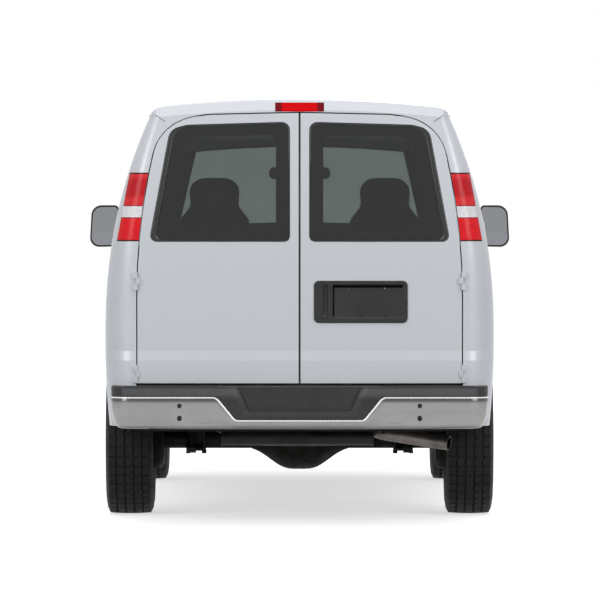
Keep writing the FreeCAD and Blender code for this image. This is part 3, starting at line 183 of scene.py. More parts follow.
def skinned(bm, rows, looped=False, capped=True):
    """Faces between rows of points that each go round. The end rows are filled in, or joined where looped."""
    if capped and not looped:
        bm.faces.new(rows[0][::-1])
        bm.faces.new(rows[-1])
    for a, b in zip(rows, rows[1:] + rows[:1] if looped else rows[1:]):
        for k in range(len(a)):
            n = (k + 1) % len(a)
            bm.faces.new((a[k], a[n], b[n], b[k]))


def add_tube(bm, path, radius, sides=10, closed=False):
    """A round bar along points, with its ends capped."""
    points = [Vector(p) for p in path]
    count = len(points)
    rings = []
    across = None
    for i, point in enumerate(points):
        if closed:
            along = points[(i + 1) % count] - points[i - 1]
        else:
            along = points[min(i + 1, count - 1)] - points[max(i - 1, 0)]
        along.normalize()
        if across is None:
            across = along.orthogonal().normalized()
        across = (across - along * across.dot(along)).normalized()
        rings.append(circle(bm, point, across, along.cross(across), radius, sides))
    skinned(bm, rings, looped=closed)


def add_box(bm, low, high):
    corners = [bm.verts.new((x, y, z)) for x in (low[0], high[0]) for y in (low[1], high[1])
               for z in (low[2], high[2])]
    for face in ((0, 1, 3, 2), (4, 6, 7, 5), (0, 4, 5, 1), (2, 3, 7, 6), (0, 2, 6, 4), (1, 5, 7, 3)):
        bm.faces.new([corners[i] for i in face])


def stood(name, mesh):
    """A new object in the scene for a mesh, a lamp or a camera."""
    holder = bpy.data.objects.new(name, mesh)
    bpy.context.scene.collection.objects.link(holder)
    return holder


def as_shown(holder, *others):
    """A plain mesh of an object with its modifiers; the object goes, and so do the others."""
    mesh = bpy.data.meshes.new_from_object(holder.evaluated_get(bpy.context.evaluated_depsgraph_get()))
    for thing in (holder, *others):
        bpy.data.objects.remove(thing)
    return mesh


def geometry(tree, kind, **inputs):
    """The result of one geometry node; an underscore in an input's name stands for a space."""
    node = tree.nodes.new(kind)
    for label, value in inputs.items():
        socket = node.inputs[label.replace("_", " ")]
        if isinstance(value, (int, float)):
            socket.default_value = value
        else:
            tree.links.new(value, socket)
    return node.outputs[0]


def grown(name, inputs, pattern, finish, place):
    """A plain mesh from geometry nodes that set one shape on each of a row of points, moved to its place.
    inputs are (name, kind, value); pattern makes the points and the shape from them."""
    tree = bpy.data.node_groups.new(name, "GeometryNodeTree")
    for label, kind, value in inputs:
        tree.interface.new_socket(label, in_out="INPUT", socket_type="NodeSocket" + kind).default_value = value
    finish_in = tree.interface.new_socket("Material", in_out="INPUT", socket_type="NodeSocketMaterial")
    tree.interface.new_socket("Geometry", in_out="OUTPUT", socket_type="NodeSocketGeometry")
    given = tree.nodes.new("NodeGroupInput").outputs
    points, shape = pattern(tree, given)
    spread = geometry(tree, "GeometryNodeInstanceOnPoints", Points=points, Instance=shape)
    solid = geometry(tree, "GeometryNodeRealizeInstances", Geometry=spread)
    painted = geometry(tree, "GeometryNodeSetMaterial", Geometry=solid, Material=given["Material"])
    tree.links.new(painted, tree.nodes.new("NodeGroupOutput").inputs[0])
    holder = stood(name, bpy.data.meshes.new(name))
    modifier = holder.modifiers.new(name, "NODES")
    modifier.node_group = tree
    modifier[finish_in.identifier] = finish
    mesh = as_shown(holder)
    mesh.transform(place)
    return mesh


def worked(tree, operation, *values):
    """The result of one sum; each value is a number or a socket."""
    node = tree.nodes.new("ShaderNodeMath")
    node.operation = operation
    for socket, value in zip(node.inputs, values):
        if isinstance(value, float):
            socket.default_value = value
        else:
            tree.links.new(value, socket)
    return node.outputs[0]


def bolt_pattern(tree, given):
    """Domed hexagon bolts spaced evenly round a circle in the XY plane."""
    ring = geometry(tree, "GeometryNodeMeshCircle", Vertices=given["Bolts"], Radius=given["Ring radius"])
    head = geometry(tree, "GeometryNodeMeshCylinder", Vertices=6, Radius=given["Across"], Depth=given["Height"])
    dome = geometry(tree, "GeometryNodeMeshCone", Vertices=10,
                    Radius_Top=worked(tree, "MULTIPLY", given["Across"], 0.45),
                    Radius_Bottom=worked(tree, "MULTIPLY", given["Across"], 0.84),
                    Depth=worked(tree, "MULTIPLY", given["Height"], 0.3))
    lift = geometry(tree, "ShaderNodeCombineXYZ", Z=worked(tree, "MULTIPLY", given["Height"], 0.5))
    raised = geometry(tree, "GeometryNodeTransform", Geometry=dome, Translation=lift)
    join = tree.nodes.new("GeometryNodeJoinGeometry")
    tree.links.new(raised, join.inputs[0])
    tree.links.new(head, join.inputs[0])
    return ring, join.outputs[0]


def bolt_ring(count, ring_radius, across, height, finish, place):
    """One ring of bolts."""
    return grown("bolt ring", (("Bolts", "Int", count), ("Ring radius", "Float", ring_radius),
                               ("Across", "Float", across), ("Height", "Float", height)), bolt_pattern, finish, place)


def middle(name):
    """The middle of a node's box."""
    low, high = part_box(name)
    return (low + high) / 2


REAR_AXLE_Y = middle("tyre_rear_left").y
TYRE_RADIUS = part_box("tyre_rear_left")[1].z / 2
SPRING_X = 0.535
U_BOLT = ((-0.041, 0.312), (-0.041, 0.470), (-0.033, 0.480), (0.033, 0.480), (0.041, 0.470), (0.041, 0.312))

facing_back = Matrix.Rotation(math.radians(90), 4, "X")
cover_bolts = bolt_ring(10, 0.112, 0.010, 0.012, CAST_METAL,
                        Matrix.Translation((0, REAR_AXLE_Y - 0.104, TYRE_RADIUS)) @ facing_back)
new_piece("axle_cover_bolts", cover_bolts, CAST_METAL, "chassis", smooth=False)

bm = bmesh.new()
add_tube(bm, [(math.cos(a) * 0.062, REAR_AXLE_Y - 0.128, TYRE_RADIUS + math.sin(a) * 0.062)
              for a in [math.tau * k / 40 for k in range(40)]], 0.006, 8, closed=True)
for side in (-1, 1):
    for y in (REAR_AXLE_Y - 0.052, REAR_AXLE_Y + 0.052):
        add_tube(bm, [(side * (SPRING_X + x), y, z) for x, z in U_BOLT], 0.007, 8)
        for x, z in (U_BOLT[0], U_BOLT[-1]):
            add_tube(bm, [(side * (SPRING_X + x), y, z), (side * (SPRING_X + x), y, z + 0.014)], 0.012, 6)
    add_box(bm, (side * SPRING_X - 0.050, REAR_AXLE_Y - 0.070, 0.326),
            (side * SPRING_X + 0.050, REAR_AXLE_Y + 0.070, 0.338))
    add_tube(bm, [(side * 0.560, REAR_AXLE_Y - 0.085, 0.330), (side * 0.560, REAR_AXLE_Y - 0.062, 0.430)], 0.019, 12)
    add_tube(bm, [(side * 0.585, REAR_AXLE_Y - 0.085, 0.338), (side * 0.535, REAR_AXLE_Y - 0.085, 0.338)], 0.022, 12)
new_piece("spring_clamps", mesh_from("spring clamps", bm), CHASSIS_BLACK, "chassis", smooth=False)


# Rear cross tube, its welded flange, and the backs of the brake drums: chassis steel behind the bumper.
# The tube ties the rail ends together below the bumper, in front of the spare as seen from behind.

def rounded(points, radii, steps=10):
    """A polygon's outline with its corners rounded, as a list of 2-D points."""
    count = len(points)
    made = []
    for i in range(count):
        here = Vector(points[i])
        before = (Vector(points[i - 1]) - here).normalized()
        after = (Vector(points[(i + 1) % count]) - here).normalized()
        half = before.angle(after) / 2
        radius = radii[i] if isinstance(radii, (list, tuple)) else radii
        if radius <= 0:
            made.append(here)
            continue
        centre = here + (before + after).normalized() * (radius / math.sin(half))
        start = here + before * (radius / math.tan(half))
        end = here + after * (radius / math.tan(half))
        turn = (start - centre).angle_signed(end - centre)
        for k in range(steps + 1):
            made.append(centre + Matrix.Rotation(-turn * k / steps, 2) @ (start - centre))
    return made


def prism(name, points, low, high, axis, far=None):
    """A 2-D outline carried along one axis, to a second outline where one is given, with both ends closed."""
    place = {"X": lambda p, t: (t, p[0], p[1]), "Y": lambda p, t: (p[0], t, p[1]),
             "Z": lambda p, t: (p[0], p[1], t)}[axis]
    bm = bmesh.new()
    skinned(bm, [[bm.verts.new(place(p, low)) for p in points], [bm.verts.new(place(p, high)) for p in far or points]])
    return mesh_from(name, bm)


def joined(name, meshes):
    """Several meshes as one."""
    bm = bmesh.new()
    for mesh in meshes:
        bm.from_mesh(mesh)
        bpy.data.meshes.remove(mesh)
    return mesh_from(name, bm, recalculate=False)


CROSS_Y, CROSS_Z = -2.578, 0.4385
ABOUT_X = (Vector((0, 1, 0)), Vector((0, 0, 1)))
DRUM_BACK = ((0.700, 0.128), (0.706, 0.138), (0.722, 0.150), (0.752, 0.152), (0.757, 0.148))

bm = bmesh.new()
add_tube(bm, [(-0.388, CROSS_Y, CROSS_Z), (0.366, CROSS_Y, CROSS_Z)], 0.0375, 28)
for x in (-0.388, 0.366):
    add_tube(bm, [(x - 0.004, CROSS_Y, CROSS_Z), (x + 0.004, CROSS_Y, CROSS_Z)], 0.041, 28)
for side in (-1, 1):
    add_tube(bm, [(side * 0.352, CROSS_Y, 0.455), (side * 0.440, -2.584, 0.505)], 0.018, 10)
flange = prism("cross flange", rounded([(-0.790, 0.472), (0.790, 0.472), (0.790, 0.503), (-0.790, 0.503)], 0.008, 4),
               -2.612, -2.598, "Y")
new_piece("rear_cross_tube", joined("rear cross tube", [mesh_from("cross tube", bm), flange]), CHASSIS_BLACK,
          "chassis", smooth=False)
bm = bmesh.new()
for side in (-1, 1):
    skinned(bm, [circle(bm, Vector((side * x, REAR_AXLE_Y, TYRE_RADIUS)), *ABOUT_X, r, 40) for x, r in DRUM_BACK])
new_piece("brake_backs", mesh_from("brake backs", bm), CAST_METAL, "chassis", smooth=False)


# Exhaust: aluminised steel tube and silencer, brown-grey and dulled by heat, with a rolled rim at each end
# of the silencer. The tail curves out behind the wheel, and its mouth is sooted.

def exhaust_steel():
    finish, tree, shader = new_finish("exhaust steel", (0.3, 0.27, 0.24), 0.42, metallic=0.85)
    heat = between(tree, grain(tree, 7.0, 5.0), 0.35, 0.68)
    laid(tree, shader, blended(tree, heat, (0.25, 0.225, 0.205), (0.11, 0.096, 0.086)),
         between(tree, grain(tree, 60.0, 3.0, (1, 0.1, 1)), 0.3, 0.7, 0.32, 0.6), (grain(tree, 240.0), 0.12, 0.0006))
    return finish


EXHAUST_STEEL = exhaust_steel()
dress(EXHAUST_STEEL, "exhaust")

bm = bmesh.new()
for y in (-0.405, 0.235):
    ring = []
    for k in range(48):
        angle = math.tau * k / 48
        x = 0.290 + 0.070 * max(-1, min(1, 1.35 * math.cos(angle))) + 0.050 * math.cos(angle)
        ring.append((x, y, 0.450 + 0.0565 * math.sin(angle)))
    add_tube(bm, ring, 0.005, 6, closed=True)
new_piece("silencer_rims", mesh_from("silencer rims", bm), EXHAUST_STEEL, "chassis")
SOOT, soot_tree, soot_shader = new_finish("soot", (0.006, 0.006, 0.006), 0.95, specular=0.05)
laid(soot_tree, soot_shader, blended(soot_tree, grain(soot_tree, 90.0), (0.004, 0.004, 0.004), (0.010, 0.009, 0.009)))
PIPE_END, PIPE_BEND = Vector((0.760, -2.075, 0.388)), Vector((0.400, -1.950, 0.440))
inward = (PIPE_BEND - PIPE_END).normalized()
across = inward.orthogonal().normalized()
bm = bmesh.new()
skinned(bm, [circle(bm, PIPE_END + inward * depth, across, inward.cross(across), r, 32)
             for depth, r in ((0.150, 0.0327), (0.003, 0.0327), (0.003, 0.0318), (0.140, 0.0310))])
new_piece("pipe_soot", mesh_from("pipe soot", bm), SOOT, "chassis")


# Fuel tank: one blow-moulded body of black plastic beside the driveline.
# Two steel straps go round under it and hang it from the floor.

def grained_plastic(name, colour, pale, roughness, size=520.0):
    """Moulded plastic with a leather-like grain, greyed a little where it weathers."""
    finish, tree, shader = new_finish(name, colour, roughness, specular=0.3)
    wear = between(tree, grain(tree, 6.0, 4.0), 0.4, 0.7)
    laid(tree, shader, blended(tree, wear, colour, pale),
         between(tree, grain(tree, 35.0), 0.3, 0.7, roughness - 0.07, roughness + 0.08),
         (grain(tree, size, 2.0), 0.3, 0.0005))
    return finish


TANK_PLASTIC = grained_plastic("tank plastic", (0.012, 0.012, 0.013), (0.022, 0.021, 0.020), 0.5)
dress(TANK_PLASTIC, "fuel_tank")
STRAP_HALF, STRAP_THICK = 0.022, 0.003
tank_low, tank_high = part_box("fuel_tank")
bm = bmesh.new()
for y in (0.08, 0.46):
    add_box(bm, (tank_low.x + 0.006, y - STRAP_HALF, tank_low.z - STRAP_THICK),
            (tank_high.x - 0.006, y + STRAP_HALF, tank_low.z))
    for x in (tank_low.x, tank_high.x + STRAP_THICK):
        add_box(bm, (x - STRAP_THICK, y - STRAP_HALF, tank_low.z + 0.030), (x, y + STRAP_HALF, 0.560))
new_piece("tank_straps", mesh_from("tank straps", bm), CHASSIS_BLACK, "chassis", smooth=False)


# Tyres: five of one size, four on the road and the spare slung flat under the tail.
# Black rubber with five ribs between zig-zag grooves, sipes across each rib and plain sidewalls.

TREAD_HALF = 0.1035
TREAD_CROWN = 0.0045
GROOVE_X = (-0.066, -0.0225, 0.0225, 0.066)
GROOVE_WIDTH = 0.0085
GROOVE_DEPTH = 0.0085
ZIGZAG = 0.0036
PITCHES = 46
SIPE_DEPTHS = (0.006, 0.0035, 0.003, 0.0035, 0.006)
SIDEWALL = ((0.0880, 0.2035), (0.0958, 0.2110), (0.1000, 0.2230), (0.1010, 0.2262), (0.1065, 0.2310), (0.1130, 0.2520),
            (0.1186, 0.2760), (0.1215, 0.2990), (0.1221, 0.3190), (0.1222, 0.3215), (0.1208, 0.3235), (0.1190, 0.3400),
            (0.1170, 0.3520), (0.1128, 0.3610), (0.1090, 0.3690), (0.1065, 0.3738))
ROWS = ((0.0, False), (0.26, False), (0.5, False), (0.74, False), (0.85, False), (0.865, True), (0.915, True),
        (0.93, False))

RUBBER = weathered("tyre rubber", (0.013, 0.013, 0.0135), (0.030, 0.029, 0.027), (22.0, 5.0, 0.4, 0.75),
                   (0.62, 0.85), ((700.0, 2.0), 0.3, 0.0004))


def tyre_mesh(name):
    """A tyre about the X axis at the origin, closed all round."""
    bm = bmesh.new()
    rings = []
    for pitch in range(PITCHES):
        for share, cut in ROWS:
            angle = math.tau * (pitch + share) / PITCHES
            swing = ZIGZAG * (4 * abs(share - 0.5) - 1)
            section = [(-x, r) for x, r in SIDEWALL]
            edges = [-TREAD_HALF]
            for centre in GROOVE_X:
                edges += [centre - GROOVE_WIDTH / 2 + swing, centre + GROOVE_WIDTH / 2 + swing]
            edges.append(TREAD_HALF)
            for rib in range(5):
                depth = SIPE_DEPTHS[rib] if cut else 0.0
                left, right = edges[2 * rib], edges[2 * rib + 1]
                for x in (left, right):
                    section.append((x, TYRE_RADIUS - TREAD_CROWN * (x / TREAD_HALF) ** 2 - depth))
                if rib < 4:
                    following = edges[2 * rib + 2]
                    floor_r = TYRE_RADIUS - TREAD_CROWN * (right / TREAD_HALF) ** 2 - GROOVE_DEPTH
                    section += [(right + 0.0012, floor_r), (following - 0.0012, floor_r)]
            section += [(x, r) for x, r in reversed(SIDEWALL)]
            rings.append([bm.verts.new((x, r * math.sin(angle), -r * math.cos(angle))) for x, r in section])
    skinned(bm, rings, looped=True)
    return mesh_from(name, bm)


WHEEL_X, FRONT_AXLE_Y = middle("tyre_rear_right").x, middle("tyre_front_left").y
lying = Matrix.Rotation(math.pi / 2, 4, "Y")
tyre_places = [("spare_tyre", "chassis", Matrix.Translation((0, middle("spare_tyre").y, 0.513)) @ lying)]
for end, y in (("front", FRONT_AXLE_Y), ("rear", REAR_AXLE_Y)):
    for side, x in (("left", -WHEEL_X), ("right", WHEEL_X)):
        tyre_places.append((f"tyre_{end}_{side}", f"wheel_{end}_{side}", Matrix.Translation((x, y, TYRE_RADIUS))))
for name, body, place in tyre_places:
    mesh = tyre_mesh(name)
    mesh.transform(place)
    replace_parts(new_piece(name + "_treaded", mesh, RUBBER, body, smooth=False), name)


# Road wheels: pressed steel in silver paint, with eight hand holes.
# Eight plated nuts hold each on its hub, and a plain pressed cap closes the middle.

WHEEL_PAINT = weathered("wheel paint", (0.36, 0.365, 0.375), (0.22, 0.21, 0.20), (18.0, 5.0, 0.45, 0.75),
                        (0.35, 0.62), ((300.0,), 0.08, 0.0005), metallic=0.55, specular=0.5)
PLATED, plated_tree, plated_shader = new_finish("plated steel", (0.62, 0.62, 0.63), 0.25, metallic=1.0)
laid(plated_tree, plated_shader, roughness=between(plated_tree, grain(plated_tree, 90.0), 0.35, 0.7, 0.16, 0.4))
NUT_CIRCLE_R = 0.08255
NUT_FACE = 0.047
HUB_FACE = 0.0434
HUB_CAP = ((0.0, 0.0602), (0.010, 0.0598), (0.0125, 0.058), (0.014, 0.050), (0.024, 0.046), (0.0335, 0.042),
           (0.036, 0.036), (0.0372, 0.020), (0.0375, 0.0))
half_step = Matrix.Rotation(math.radians(22.5), 4, "X")
for end, y in (("front", FRONT_AXLE_Y), ("rear", REAR_AXLE_Y)):
    for side, sign in (("left", -1), ("right", 1)):
        body = f"wheel_{end}_{side}"
        dress(WHEEL_PAINT, body)
        outwards = Matrix.Rotation(math.radians(90) * sign, 4, "Y")
        centre = Matrix.Translation((sign * (WHEEL_X + NUT_FACE), y, TYRE_RADIUS))
        nuts = bolt_ring(8, NUT_CIRCLE_R, 0.0125, 0.020, PLATED, centre @ half_step @ outwards)
        new_piece(f"wheel_nuts_{end}_{side}", nuts, PLATED, body, smooth=False)
        bm = bmesh.new()
        skinned(bm, [circle(bm, Vector((sign * (WHEEL_X + HUB_FACE + x), y, TYRE_RADIUS)), *ABOUT_X, r, 48)
                     for x, r in HUB_CAP])
        bmesh.ops.remove_doubles(bm, verts=bm.verts, dist=0.00001)
        new_piece(f"hub_cap_{end}_{side}", mesh_from("hub cap", bm), WHEEL_PAINT, body)


# Floor pan and sills: pressed steel with welded cross members.
# It is painted dark grey inside as painted shade, and black and dusty below.

def spot(tree):
    """A point's place on the object, whole, and its X, Y and Z apart."""
    place = tree.nodes.new("ShaderNodeTexCoord").outputs["Object"]
    apart = tree.nodes.new("ShaderNodeSeparateXYZ")
    tree.links.new(place, apart.inputs["Vector"])
    return place, *apart.outputs


def floor_paint():
    finish, tree, shader = new_finish("floor paint", (0.3, 0.31, 0.32), 0.5)
    _, _, _, z = spot(tree)
    # The inside is painted dark grey: painted shade inside the van.
    inside_painted_shade = blended(tree, grain(tree, 5.0), (0.10, 0.102, 0.105), (0.15, 0.152, 0.155))
    lower = blended(tree, grain(tree, 8.0), (0.012, 0.012, 0.012), (0.030, 0.028, 0.025))
    laid(tree, shader, blended(tree, between(tree, z, 0.706, 0.711), lower, inside_painted_shade),
         between(tree, grain(tree, 30.0), 0.3, 0.7, 0.4, 0.65), (grain(tree, 180.0), 0.15, 0.001))
    return finish


dress(floor_paint(), "floor_pan")


# Body panels, doors and bonnet: silver-white metallic paint over steel.
# Fine flakes, a clear coat, and a faint film of dust towards the sills.

def body_paint():
    finish, tree, shader = new_finish("body paint", (0.64, 0.66, 0.69), 0.4, metallic=0.12, coat=0.12,
                                      coat_roughness=0.06, specular=0.3)
    _, _, _, z = spot(tree)
    flakes = grain(tree, 2600.0, 1.0)
    tone = blended(tree, between(tree, flakes, 0.3, 0.7), (0.62, 0.64, 0.675), (0.675, 0.695, 0.725))
    film = worked(tree, "MULTIPLY", between(tree, z, 0.80, 0.42, 0.0, 0.16),
                  between(tree, grain(tree, 10.0, 6.0), 0.35, 0.7))
    laid(tree, shader, blended(tree, film, tone, (0.36, 0.34, 0.31)), between(tree, flakes, 0.3, 0.7, 0.30, 0.40),
         (flakes, 0.03, 0.0002))
    return finish


PAINT = body_paint()
dress(PAINT, "body_side_left", "body_side_right", "roof_panel", "cowl_panel", "front_clip", "hood", "fuel_door",
      "front_door_left", "front_door_right", "side_door_front", "side_door_rear", "rear_door_left",
      "rear_door_right")


# Rear doors: each a pressed skin folded over its inner frame, with the top outer corner swept round.
# The corner is trimmed from the door, and the pillar's own corner is brought in to meet it.

def faces_of(*names):
    """A search tree over the faces of some CAD nodes."""
    points, faces = [], []
    for name in names:
        mesh = nodes[name].data
        start = len(points)
        points += [v.co.copy() for v in mesh.vertices]
        faces += [[start + i for i in p.vertices] for p in mesh.polygons]
    return BVHTree.FromPolygons(points, faces)


def struck(tree, origin, direction):
    """Where a straight line from origin first meets the faces, with the face's normal towards origin."""
    where, normal, _, _ = tree.ray_cast(Vector(origin), Vector(direction))
    if where is not None and normal.dot(Vector(direction)) > 0:
        normal = -normal
    return where, normal


def bezier(points, share):
    """A point on a curve with four control points."""
    a, b, c, d = points
    rest = 1 - share
    return a * rest ** 3 + b * 3 * rest ** 2 * share + c * 3 * rest * share ** 2 + d * share ** 3


SWEEP = [Vector((0.7282, 1.8600)), Vector((0.7051, 1.9624)), Vector((0.6191, 2.0288)), Vector((0.5200, 2.0424))]
DOOR_CORNER = [Vector((0.7282, 1.8600)), Vector((0.7000, 1.9620)), Vector((0.6520, 2.0160)), Vector((0.5960, 2.0320)),
               Vector((0.4500, 2.0520))]
SWEEP_STEPS = 28
sweep = [bezier(SWEEP, k / SWEEP_STEPS) for k in range(SWEEP_STEPS + 1)]


def past_corner(point, outwards):
    """How far the door's cut corner lies beyond a point of the swept curve."""
    nearest = 0.0
    for a, b in zip(DOOR_CORNER, DOOR_CORNER[1:]):
        edge = b - a
        det = outwards.x * -edge.y + edge.x * outwards.y
        if abs(det) < 1e-9:
            continue
        off = a - point
        along = (off.x * -edge.y + edge.x * off.y) / det
        share = (outwards.x * off.y - outwards.y * off.x) / det
        if -0.01 <= share <= 1.01 and 0 <= along < 0.05:
            nearest = max(nearest, along)
    return nearest


def carved(name, start, steps, bevel=0.0):
    """A mesh with others joined to it or cut from it in turn, its sharp edges then rounded."""
    holder = stood(name, start)
    tools = []
    for operation, mesh in steps:
        tools.append(stood("tool", mesh))
        change = holder.modifiers.new("change", "BOOLEAN")
        change.operation = operation
        change.solver = "EXACT"
        change.object = tools[-1]
    if bevel:
        edge = holder.modifiers.new("edge", "BEVEL")
        edge.width = bevel
        edge.segments = 3
        edge.limit_method = "ANGLE"
        edge.angle_limit = math.radians(38)
    mesh = as_shown(holder, *tools)
    mesh.name = name
    return mesh


def shade_as(mesh, source):
    """Give every corner of mesh the shading of the nearest source face that looks the same way."""
    corners = [corner.vector.copy() for corner in source.corner_normals]
    tree = BVHTree.FromPolygons([v.co for v in source.vertices], [tuple(face.vertices) for face in source.polygons])
    mesh.polygons.foreach_set("use_smooth", [True] * len(mesh.polygons))
    mesh.set_sharp_from_angle(angle=math.radians(30))
    shading = [Vector((0, 0, 0))] * len(mesh.loops)
    for face in mesh.polygons:
        for loop_index in face.loop_indices:
            corner = mesh.vertices[mesh.loops[loop_index].vertex_index].co
            point = corner.lerp(face.center, 0.002)
            best, nearest = None, 0.0004
            for _, normal, index, distance in tree.find_nearest_range(point, nearest):
                if normal.dot(face.normal) > 0.995 and distance < nearest:
                    best, nearest = index, distance
            if best is None:
                continue
            found = source.polygons[best]
            shares = poly_3d_calc([source.vertices[k].co for k in found.vertices], point)
            total = Vector((0, 0, 0))
            for share, source_loop in zip(shares, found.loop_indices):
                total += corners[source_loop] * share
            shading[loop_index] = total.normalized()
    mesh.normals_split_custom_set(shading)


for side, sign in (("left", -1), ("right", 1)):
    name = f"rear_door_{side}"
    bm = bmesh.new()
    bm.from_mesh(nodes[name].data)
    bmesh.ops.remove_doubles(bm, verts=bm.verts, dist=0.00002)
    door = mesh_from(name, bm, recalculate=False)
    outline = [(sign * p.x, p.y) for p in sweep]
    outline += [(sign * 0.520, 2.120), (sign * 0.800, 2.120), (sign * 0.800, 1.860)]
    trimmed = carved(name, door, [("DIFFERENCE", prism("corner", outline, -2.9, -2.3, "Y"))])
    shade_as(trimmed, nodes[name].data)
    piece = new_piece(name + "_trimmed", trimmed, PAINT, name, smooth=False)
    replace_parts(piece, name)

body_skin = faces_of("body_side_left", "body_side_right", "roof_panel")
bm = bmesh.new()
for side, sign in (("left", -1), ("right", 1)):
    door_skin = faces_of(f"rear_door_{side}")
    rows = []
    for k, point in enumerate(sweep):
        ahead = sweep[min(k + 1, SWEEP_STEPS)] - sweep[max(k - 1, 0)]
        outwards = Vector((ahead.y, -ahead.x)).normalized()
        reach = past_corner(point, outwards) + 0.0085
        inner, outer = point - outwards * 0.006, point + outwards * (reach + 0.004)
        on_door, _ = struck(door_skin, (sign * inner.x, -3.0, inner.y), (0, 1, 0))
        on_body, _ = struck(body_skin, (sign * outer.x, -3.0, outer.y), (0, 1, 0))
        if on_door is None or on_body is None or abs(on_door.y - on_body.y) > 0.05:
            continue
        width = reach + 0.010

        def depth(distance, a=on_door.y, b=on_body.y, width=width):
            return a + (b - a) * (distance + 0.006) / width

        low, high = point + outwards * 0.0048, point + outwards * reach
        rows.append([bm.verts.new((sign * low.x, depth(0.0048), low.y)),
                     bm.verts.new((sign * high.x, depth(reach) - 0.0002, high.y)),
                     bm.verts.new((sign * high.x, depth(reach) + 0.0004, high.y)),
                     bm.verts.new((sign * low.x, depth(0.0048) + 0.014, low.y))])
    skinned(bm, rows)
new_piece("pillar_corners", mesh_from("pillar corners", bm), PAINT, "chassis")


# Panel joints: the roof is lapped over the rear pillars.
# Each lap is filled with a thin line of dark sealer.

def add_strip(bm, places, width, proud):
    """A flat strip on a surface: places are (point, normal); it stands a little proud of the surface."""
    rows = []
    for i, (point, normal) in enumerate(places):
        along = places[min(i + 1, len(places) - 1)][0] - places[max(i - 1, 0)][0]
        side = along.cross(normal).normalized() * (width / 2)
        rows.append([bm.verts.new(point - side - normal * 0.001), bm.verts.new(point - side + normal * proud),
                     bm.verts.new(point + side + normal * proud), bm.verts.new(point + side - normal * 0.001)])
    skinned(bm, rows)


RUBBER_SEAL = grained_plastic("sealing rubber", (0.008, 0.008, 0.008), (0.014, 0.014, 0.014), 0.6)
outer_skin = faces_of("body_side_left", "body_side_right", "roof_panel", "front_clip", "cowl_panel")
seam_start, seam_end = (0.650, 2.0045), (0.735, 2.062)
bm = bmesh.new()
for side in (-1, 1):
    places = []
    for k in range(9):
        share = k / 8
        x = seam_start[0] + (seam_end[0] - seam_start[0]) * share
        z = seam_start[1] + (seam_end[1] - seam_start[1]) * share
        where, normal = struck(outer_skin, (side * x, -3.0, z), (0, 1, 0))
        if where is not None and where.y < -2.4:
            places.append((where, normal))
    if len(places) > 1:
        add_strip(bm, places, 0.0026, 0.0006)
new_piece("pillar_joints", mesh_from("pillar joints", bm), RUBBER_SEAL, "chassis", smooth=False)


# Rear door seals: a black rubber lip is pressed on the free edge of each door.
# The two lips meet on the middle line.

SEAL_SECTION = ((0.0001, 0.0055), (0.0056, 0.0045), (0.0056, 0.0105), (0.0001, 0.0075))
for side, sign in (("left", -1), ("right", 1)):
    door_skin = faces_of(f"rear_door_{side}")
    bm = bmesh.new()
    rows = []
    for k in range(34):
        z = 0.724 + 1.330 * k / 33
        where, _ = struck(door_skin, (sign * 0.013, -3.2, z), (0, 1, 0))
        rows.append([bm.verts.new((sign * x, where.y + y, z)) for x, y in SEAL_SECTION])
    skinned(bm, rows)
    new_piece(f"rear_door_seal_{side}", mesh_from("door seal", bm), RUBBER_SEAL, f"rear_door_{side}",
              smooth=False)


# Drip rails: a rolled steel gutter along each side of the roof, painted with the body.
# Each ends behind in a small folded tab that stands out past the roof's corner.

bm = bmesh.new()
for side in (-1, 1):
    path = []
    for k in range(40):
        y = -2.575 + 3.80 * k / 39
        height = 2.050 - 0.030 * min(1.0, max(0.0, (y + 0.6) / 0.8)) - 0.075 * max(0.0, (y - 0.2) / 1.0) ** 2
        where, normal = struck(outer_skin, (side * 1.3, y, height), (-side, 0, 0))
        if where is not None and abs(where.x) > 0.6:
            path.append(where + normal * 0.003)
    add_tube(bm, path, 0.0055, 8)
new_piece("drip_rails", mesh_from("drip rails", bm), PAINT, "chassis")
bm = bmesh.new()
for side in (-1, 1):
    where, _ = struck(outer_skin, (side * 1.3, -2.560, 2.052), (-side, 0, 0))
    tip = Vector((side * 0.7385, -2.575, 2.0665))
    foot = Vector((where.x - side * 0.004, -2.575, 2.0500))
    along = (tip - foot).normalized()
    rise = Vector((-along.z, 0, along.x)) * 0.0048
    corners = [foot - rise, tip - rise * 0.5, tip + along * 0.001 + rise * 0.7, foot + rise]
    front = [bm.verts.new(c) for c in corners]
    skinned(bm, [front, [bm.verts.new(c + Vector((0, 0.055, 0))) for c in corners]])
new_piece("drip_tabs", mesh_from("drip tabs", bm), PAINT, "chassis", smooth=False)


# Headliner and linings: felted board, clipped to the inside of the roof, the walls and the doors; its dark colour is
# painted shade for the inside of the van. Each board stands a little off its panel and follows its curve.

# The felt is made dark as painted shade inside the van.
def painted_shade_felt():
    finish, tree, shader = new_finish("dark felt painted shade", (0.03, 0.031, 0.032), 0.95)
    laid(tree, shader, blended(tree, grain(tree, 900.0, 2.0), (0.020, 0.021, 0.022), (0.045, 0.046, 0.047)),
         bump=(grain(tree, 1200.0, 2.0), 0.35, 0.0006))
    return finish


FELT_PAINTED_SHADE = painted_shade_felt()
LINING_GAP = 0.003
LINING_THICK = 0.004


